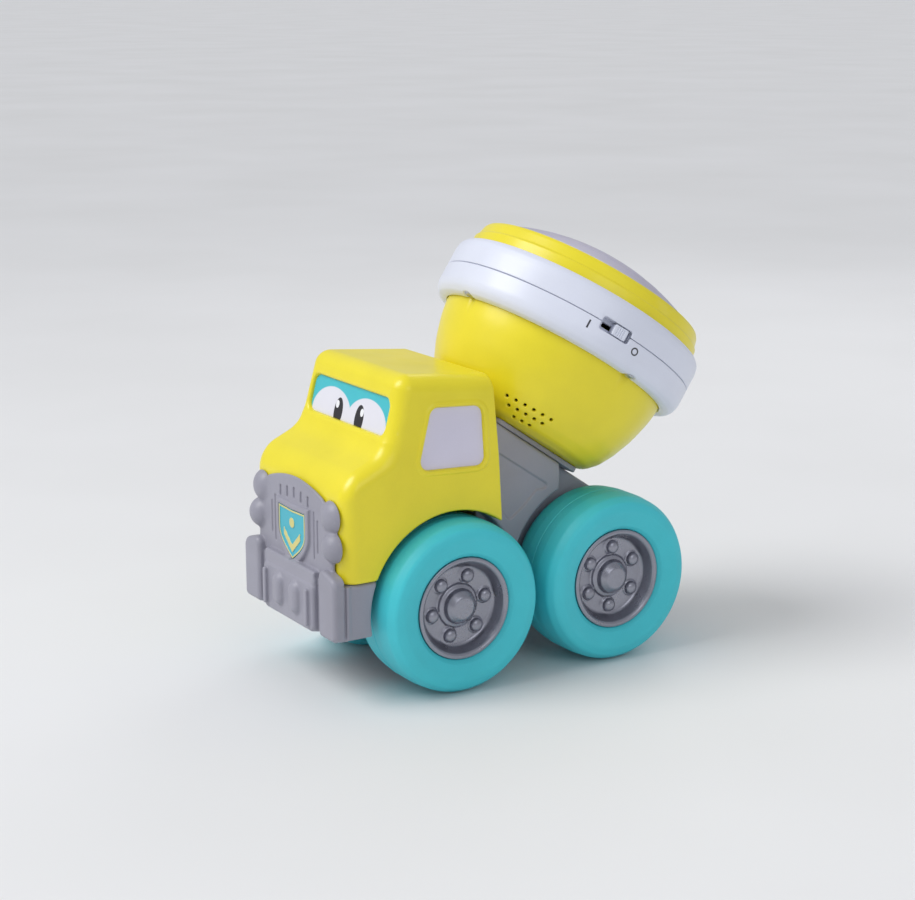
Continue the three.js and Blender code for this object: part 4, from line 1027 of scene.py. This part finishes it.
def build_rings():
    lower = [
        (RING - 2.4, -SEAM, 0.2), (RING, -SEAM, 0.35), (RING, -9, 10), (RING - 0.8, -12.4, 6),
        (RING - 3, -15, 3), (RING - 5.4, -15.8, 1.5), (BOWL_TOP + GAP, -15.8, 0.6),
        (BOWL_TOP + GAP, -13.3, 0.3), (RING - 2.4, -13.2, 1),
    ]
    upper = [
        (RING - 2.4, SEAM, 0.2), (RING, SEAM, 0.35), (RING, 9.5, 8), (RING - 0.6, 12.8, 4),
        (RING - 2.2, 14.9, 2), (RING - 3.6, 15.4, 1.2), (RING - 4.8, 15, 0.6), (RING - 5, 13, 0.2),
        (RING - 3, 12.6, 0.2), (RING - 2.4, 11.6, 0.4),
    ]
    axes = drum_grid(71.2, -16, 0, 0.5)
    body = turned(outline_of(lower), *axes)
    for a in RING_SCREWS:
        p, q, h = spin(axes, a)
        body = carve(body, both(disc(p - 65.3, q, 3.3), h + 14.7), 0.8)
        body = carve(body, both(disc(p - 65.3, q, 1.7), slab(h, -20, 0)))
    body = carve(body, switch_opening(axes), 0.8)
    cast("ring_half_lower", body, axes, DRUM, 60000, "drum", "cool_white", "ring_lower")
    axes = drum_grid(71.2, -10.8, 15.6, 0.5)
    u, v, w = axes
    body = turned(outline_of(upper), u, v, w)
    for a in RING_SCREWS:
        p, q, h = spin(axes, a)
        boss = both(disc(p - 65.3, q, 2.7), slab(h, -10.6, 6))
        web = box((p, q, h), (65.3, -1, SEAM), (RING - 1.5, 1, 6), 0.1)
        body = merge(body, np.minimum(boss, web))
        body = carve(body, both(disc(p - 65.3, q, 1.65), h - 4.4))
    body = carve(body, switch_opening(axes), 0.8)
    cast("ring_half_upper", body, axes, DRUM, 70000, "drum", "cool_white", "ring_upper")


PAD_R = 61.2
PAD_TOP = 43.0


def build_top_ring():
    rows = [
        (RING - 5.3, 7.5, 0.3), (RING - 5.3, 10.2, 0.3), (RING - 3, 10.2, 0.2),
        (RING - 3.2, 12.2, 0.2), (RING - 5.3, 12.6, 0.6), (RING - 5.5, 20.4, 1.0),
        (RING - 6.5, 21.4, 1.5), (RING - 7.6, 26, 1.6), (RING - 8.6, 27.6, 0.7),
        (PAD_R + 0.6, 27.6, 0.4), (PAD_R + 0.5, 24.5, 0.3), (PAD_R + 2.1, 23.9, 0.3),
        (PAD_R + 2.1, 7.5, 0.3),
    ]
    piece = spun("top_band", outline_of(rows), DRUM, 160)
    settle(piece, "drum", "yellow_shell", "top_ring")


DOME = (PAD_R**2 + (PAD_TOP - 27) ** 2) / (2 * (PAD_TOP - 27))
KEY_TURN = math.radians(253)


def dome_z(r, drop=0.0):
    return PAD_TOP - DOME + math.sqrt((DOME - drop) ** 2 - r * r)


def key_column(axes, grown):
    """Plan of the key: the part of the dome inside a second, offset circle."""
    p, q, _ = spin(axes, KEY_TURN)
    u, v, _ = axes
    return meet(2.5, disc(p - 112.6, q, 87 + grown), disc(u, v, 58.6 + grown))


def build_pad():
    axes = drum_grid(62.8, 21.2, 43.2, 0.55)
    u, v, w = axes
    outer = [(r, dome_z(r), 0) for r in (0, 8, 16, 24, 32, 40, 47, 53, 57, 60)]
    inner = [(r, dome_z(r, 2), 0) for r in (58, 52, 45, 37, 28, 19, 10, 0)]
    rows = outer + [
        (PAD_R, dome_z(60) - 1.4, 1.5), (PAD_R, 23.4, 0.3), (PAD_R + 1.4, 23.2, 0.2),
        (PAD_R + 1.4, 21.4, 0.3), (PAD_R - 5, 21.4, 0.3), (PAD_R - 5, 23.2, 0.3),
        (PAD_R - 1.6, 23.6, 0.3),
    ] + inner
    body = turned(outline_of(rows), u, v, w)
    # Shallow rings moulded into the dome.
    r = np.sqrt(u * u + v * v)
    for at in (46.0,):
        body = both(body, np.where(w > 25, 0.28 - np.abs(r - at) - (dome_z(at) - w) * 0.35, body))
    body = carve(body, both(key_column(axes, 0.4), 24 - w), 0.8)
    cast("drum_pad", body, axes, DRUM, 60000, "pad", "pad_translucent", "pad_dome")
    low = [(r, dome_z(r) + 0.2, 0) for r in (0, 14, 26, 36, 44, 50, 55, 60)]
    skin_of = turned([p[:2] for p in low] + [(60, 15), (0, 15)], u, v, w)
    body = meet(0.7, skin_of, key_column(axes, 0.0))
    under = [(r, dome_z(r, 2)) for r in (0, 14, 26, 36, 44, 50, 55, 57.2)]
    hollow = turned(under + [(57.2, 5), (0, 5)], u, v, w)
    body = carve(body, both(hollow, key_column(axes, -1.6)))
    body = both(body, 25.4 - w)
    cast("play_key", body, axes, DRUM, 30000, "key", "orange_key", "mode_key")


def build_cradle():
    axes = grid((-30.5, -28.5, -66), (30.5, 28.5, -55), 0.45)
    u, v, w = axes
    foot = meet(0.6, polygon(rect(30, 28, 4), u, v), slab(w, DECK + GAP, BOWL_LOW - GAP))
    block = meet(1.2, polygon(rect(27.4, 24.4, 4), u, v), slab(w, DECK + GAP, SOCKET_TOP - 1))
    body = merge(foot, block, 0.8)
    side = np.abs(v)
    body = carve(body, both(np.abs(np.abs(u) - 12) - 1, SOCKET_TOP - 1.9 - w), 0.5)
    body = carve(body, both(disc(u, side - 12, 3.6), SOCKET_TOP - 6 - w), 0.5)
    body = carve(body, disc(u, side - 12, 1.65))
    cast("cradle", body, axes, DRUM, 30000, "chassis", "mid_grey", "drum_cradle")


# ---------- power switch ----------
HOUSING = RING - 2.4 - 1.7


def build_switch():
    place = DRUM @ rotate(SWITCH_TURN)
    axes = grid((HOUSING - 5, -10.7, -5.5), (HOUSING, 10.7, 4.7), 0.3)
    x, y, z = axes
    body = box(axes, (HOUSING - 5, -10.6, -5.4), (HOUSING, 10.6, 4.6), 0.4)
    tray = polygon(rect(8.6, 3.4, 1.2, (0, -0.4)), y, z)
    body = carve(body, both(tray, HOUSING - 2.2 - x), 0.4)
    slot = polygon(rect(6.2, 1.2, 0.4, (0, -0.4)), y, z)
    body = carve(body, slot, 0.2)
    cast("switch_tray", body, axes, place, 14000, "drum", "cool_white", "switch_housing")
    back, front, at = HOUSING - 2.2 + GAP, RING - 0.5, 2.5
    axes = grid((back - 4.6, at - 4.2, -3.6), (front, at + 4.2, 2.8), 0.18)
    x, y, z = axes
    grip = meet(0.6, polygon(rect(4, 2.9, 0.9, (at, -0.4)), y, z), slab(x, back, front))
    for d in (-1.8, -0.6, 0.6, 1.8):
        nick = both(np.abs(y - at - d) - 0.2, front - 0.4 - x)
        grip = carve(grip, both(nick, np.abs(z + 0.4) - 2.2), 0.35)
    stem = box(axes, (back - 4.4, at - 2, -1.3), (back + 1, at + 2, 0.5), 0.2)
    body = merge(grip, stem, 0.3)
    cast("switch_slider", body, axes, place, 16000, "switch", "cool_white", "switch_knob")
    # Generic marks beside the switch: a bar for on and a ring for off, laid on the ring.
    bar = [(-0.45, -2.2), (0.45, -2.2), (0.45, 2.2), (-0.45, 2.2)]
    mark("mark_on", [bar], -14.2)
    steps = [2 * math.pi * k / 40 for k in range(40)]
    mark("mark_off", [[(2.1 * math.cos(a), 2.1 * math.sin(a)) for a in steps]], 14.2, hole=1.35)


def mark(name, loops, along, hole=0.0):
    """Thin print that follows the ring's curve."""
    turn = SWITCH_TURN + along / RING
    verts, faces = [], []
    rise = 0.05
    for loop in loops:
        n = len(loop)
        if hole:
            size = math.hypot(*loop[0])
            inner = [(a * hole / size, b * hole / size) for a, b in loop]
            pair = [loop, inner]
        else:
            pair = [loop]
        for ring_points in pair:
            for r in (RING - 0.15, RING + rise):
                for a, b in ring_points:
                    t = turn + a / RING
                    verts.append((r * math.cos(t), r * math.sin(t), b - 4.6))
        if hole:
            for k in range(n):
                m = (k + 1) % n
                o0, o1, i0, i1 = 0, n, 2 * n, 3 * n
                faces.append([o1 + k, o1 + m, i1 + m, i1 + k])
                faces.append([o0 + k, i0 + k, i0 + m, o0 + m])
                faces.append([o0 + k, o0 + m, o1 + m, o1 + k])
                faces.append([i0 + k, i1 + k, i1 + m, i0 + m])
        else:
            faces.append(list(range(n, 2 * n)))
            faces.append(list(range(n))[::-1])
            for k in range(n):
                m = (k + 1) % n
                faces.append([k, m, n + m, n + k])
    obj = new_object(name, verts, faces)
    obj.data.transform(Matrix.Scale(MM, 4) @ DRUM)
    obj.data.set_sharp_from_angle(angle=math.radians(40))
    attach(obj, "drum")
    obj.data.materials.append(MATERIALS["mark"])


# ---------- inside the drum ----------
def helix(name, radius, low, high, turns, wire, place):
    """Sprung coil with flattened end turns, as a mesh tube."""
    steps, around = int(turns * 36), 10
    verts, faces = [], []
    for i in range(steps + 1):
        t = i / steps
        a = 2 * math.pi * turns * t
        lift = t - 0.045 * math.sin(2 * math.pi * t)
        out = Vector((math.cos(a), math.sin(a), 0))
        rise = low + wire + (high - low - 2 * wire) * lift
        c = out * radius + Vector((0, 0, rise))
        for k in range(around):
            b = 2 * math.pi * k / around
            verts.append(c + out * (wire * math.cos(b)) + Vector((0, 0, wire * math.sin(b))))
    for i in range(steps):
        for k in range(around):
            m = (k + 1) % around
            faces.append([i * around + k, i * around + m, (i + 1) * around + m, (i + 1) * around + k])
    faces.append(list(range(around)))
    faces.append([steps * around + k for k in range(around)][::-1])
    faces = [f[::-1] for f in faces]
    obj = new_object(name, [tuple(v) for v in verts], faces)
    obj.data.transform(Matrix.Scale(MM, 4) @ place)
    return obj


def build_springs():
    for i, turn in enumerate((13, 133, 313)):
        place = DRUM @ rotate(math.radians(turn)) @ shift(58.6, 0, 0)
        piece = helix(f"coil_{i + 1}", 2.2, 8.1, 21.3, 5, 0.4, place)
        settle(piece, "drum", "steel", f"pad_spring_{i + 1}")
        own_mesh(piece)
    top = dome_z(46.6, 2)
    place = DRUM @ rotate(KEY_TURN) @ shift(44, 0, 0)
    piece = helix("coil_key", 2.2, 13.1, top - 0.1, 5, 0.4, place)
    settle(piece, "drum", "steel", "key_spring")
    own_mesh(piece)


def build_leds():
    low = -8.4 + GAP + 1.6 + GAP
    rows = [
        (0, low, 0), (2.9, low, 0.1), (2.9, low + 1, 0.2), (2.5, low + 1.1, 0.1),
        (2.5, low + 6.4, 1.5), (1.6, low + 8, 1.0), (0, low + 8.6, 0),
    ]
    for i in range(3):
        place = DRUM @ rotate(math.radians(120 * i)) @ shift(22, 0, 0)
        piece = spun(f"lamp_{i + 1}", outline_of(rows, 4), place, 32)
        settle(piece, "drum", "led", f"led_{i + 1}")


def build_cover():
    axes = grid((-26.3, -23.3, SOCKET_TOP), (26.3, 23.3, SOCKET_TOP + 2), 0.35)
    u, v, w = axes
    low = SOCKET_TOP + 0.1
    body = meet(0.4, polygon(rect(26.2, 23.2, 3), u, v), slab(w, low, low + 1.8))
    body = carve(body, disc(u, v, 1.7), 0.2)
    # Finger ridges and a thin raised border on the outer face.
    for k in range(5):
        nick = both(np.abs(u - 17 - k * 1.6) - 0.35, np.abs(v) - 6)
        body = carve(body, both(nick, w - low - 0.4), 0.3)
    line = np.abs(polygon(rect(24, 21, 2.4), u, v)) - 0.35
    body = carve(body, both(line, w - low - 0.35), 0.3)
    cast("battery_door", body, axes, DRUM, 16000, "drum", "yellow_shell", "battery_cover")


def build_cells():
    wrap = [(0, -24.8, 0), (6.9, -24.8, 0.5), (7.1, -24.3, 0.3), (7.1, 23.0, 0.6), (6.5, 23.4, 0.3),
            (2.7, 23.5, 0.3), (2.6, 24.8, 0.4), (0, 24.8, 0)]
    floor = SOCKET_TOP + 2 + GAP
    for i, k in enumerate((-1, 0, 1)):
        flip = -1 if k == 0 else 1
        place = DRUM @ shift(0, k * 15, floor + 7.7) @ rotate(flip * math.pi / 2, "Y")
        piece = spun(f"cell_{i + 1}", outline_of(wrap, 4), place, 48)
        settle(piece, "drum", "cell_wrap", f"battery_{i + 1}")


def dress_hidden():
    """Sealed inner nodes stay as they are, with bevelled edges and finished materials."""
    slots = {
        "board_carrier": "cool_white",
        "circuit_board": "board",
        "battery_box": "dark_plastic",
        "speaker": "dark_plastic",
    }
    for node, slot in slots.items():
        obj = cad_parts[node]
        obj.data.materials.clear()
        obj.data.materials.append(MATERIALS[slot])
        bevel = obj.modifiers.new("edges", "BEVEL")
        bevel.width = 0.0002
        bevel.segments = 2
        bevel.limit_method = "ANGLE"


for make in (
    build_cab, build_windows, build_front, build_crest, build_chassis, build_pan, build_screws,
    build_axles, build_wheels, build_bowl, build_rings, build_top_ring, build_pad, build_cradle,
    build_switch, build_springs, build_leds, build_cover, build_cells, dress_hidden,
):
    make()


# ---------- floor, light and camera ----------
FLOOR = 60.0


def build_stage():
    sides = 128
    angles = [2 * math.pi * k / sides for k in range(sides)]
    verts = [(0, 0, 0)] + [(FLOOR * math.cos(a), FLOOR * math.sin(a), 0) for a in angles]
    faces = [[0, k + 1, (k + 1) % sides + 1] for k in range(sides)]
    floor = new_object("floor", verts, faces)
    g = Graph("floor")
    cloud = g.ramp(g.noise(3, 3), (0.3, 0), (0.7, 1))
    g.link(g.mix(cloud, (0.80, 0.80, 0.80), (0.84, 0.84, 0.845)), g.shader.inputs["Base Color"])
    g.shader.inputs["Roughness"].default_value = 0.7
    floor.data.materials.append(g.material)
    world = bpy.data.worlds.new("studio")
    world.use_nodes = True
    sky = world.node_tree.nodes["Background"].inputs
    sky["Color"].default_value = (0.93, 0.95, 1.0, 1)
    sky["Strength"].default_value = 0.5
    bpy.context.scene.world = world


def place_looking(name, data, at, along):
    """Adds a lamp or the camera at a place, looking along a direction."""
    obj = bpy.data.objects.new(name, data)
    bpy.context.scene.collection.objects.link(obj)
    obj.location = at
    obj.rotation_mode = "QUATERNION"
    obj.rotation_quaternion = Vector(along).to_track_quat("-Z", "Y")
    return obj


def lamp(name, at, size, power, colour=(1, 1, 1)):
    data = bpy.data.lights.new(name, "AREA")
    data.shape = "RECTANGLE"
    data.size, data.size_y = size
    data.energy = power
    data.color = colour
    place_looking(name, data, at, Vector((0, 0, 0.1)) - Vector(at))


build_stage()
sun = bpy.data.lights.new("daylight", "SUN")
sun.energy = 1.25
sun.angle = math.radians(35)
place_looking("daylight", sun, (0, 0, 0), (-0.9, 0.25, -1.15))
lamp("key", (0.95, -0.25, 0.95), (0.6, 0.6), 3.2)
lamp("fill", (0.1, 1.35, 0.8), (0.9, 0.7), 2.4, colour=(0.96, 0.98, 1.0))
lamp("rim", (-0.9, -0.6, 0.9), (0.6, 0.5), 1.5)

camera = bpy.data.cameras.new("camera")
camera.lens = 78.3
camera.sensor_width = 36
camera.clip_start = 0.01
azimuth, elevation = math.radians(147.83), math.radians(13.6)
flat = math.cos(elevation)
along = (-math.sin(azimuth) * flat, math.cos(azimuth) * flat, -math.sin(elevation))
bpy.context.scene.camera = place_looking("camera", camera, (0.5473, 0.8449, 0.35), along)
bpy.context.scene.view_settings.view_transform = "Standard"
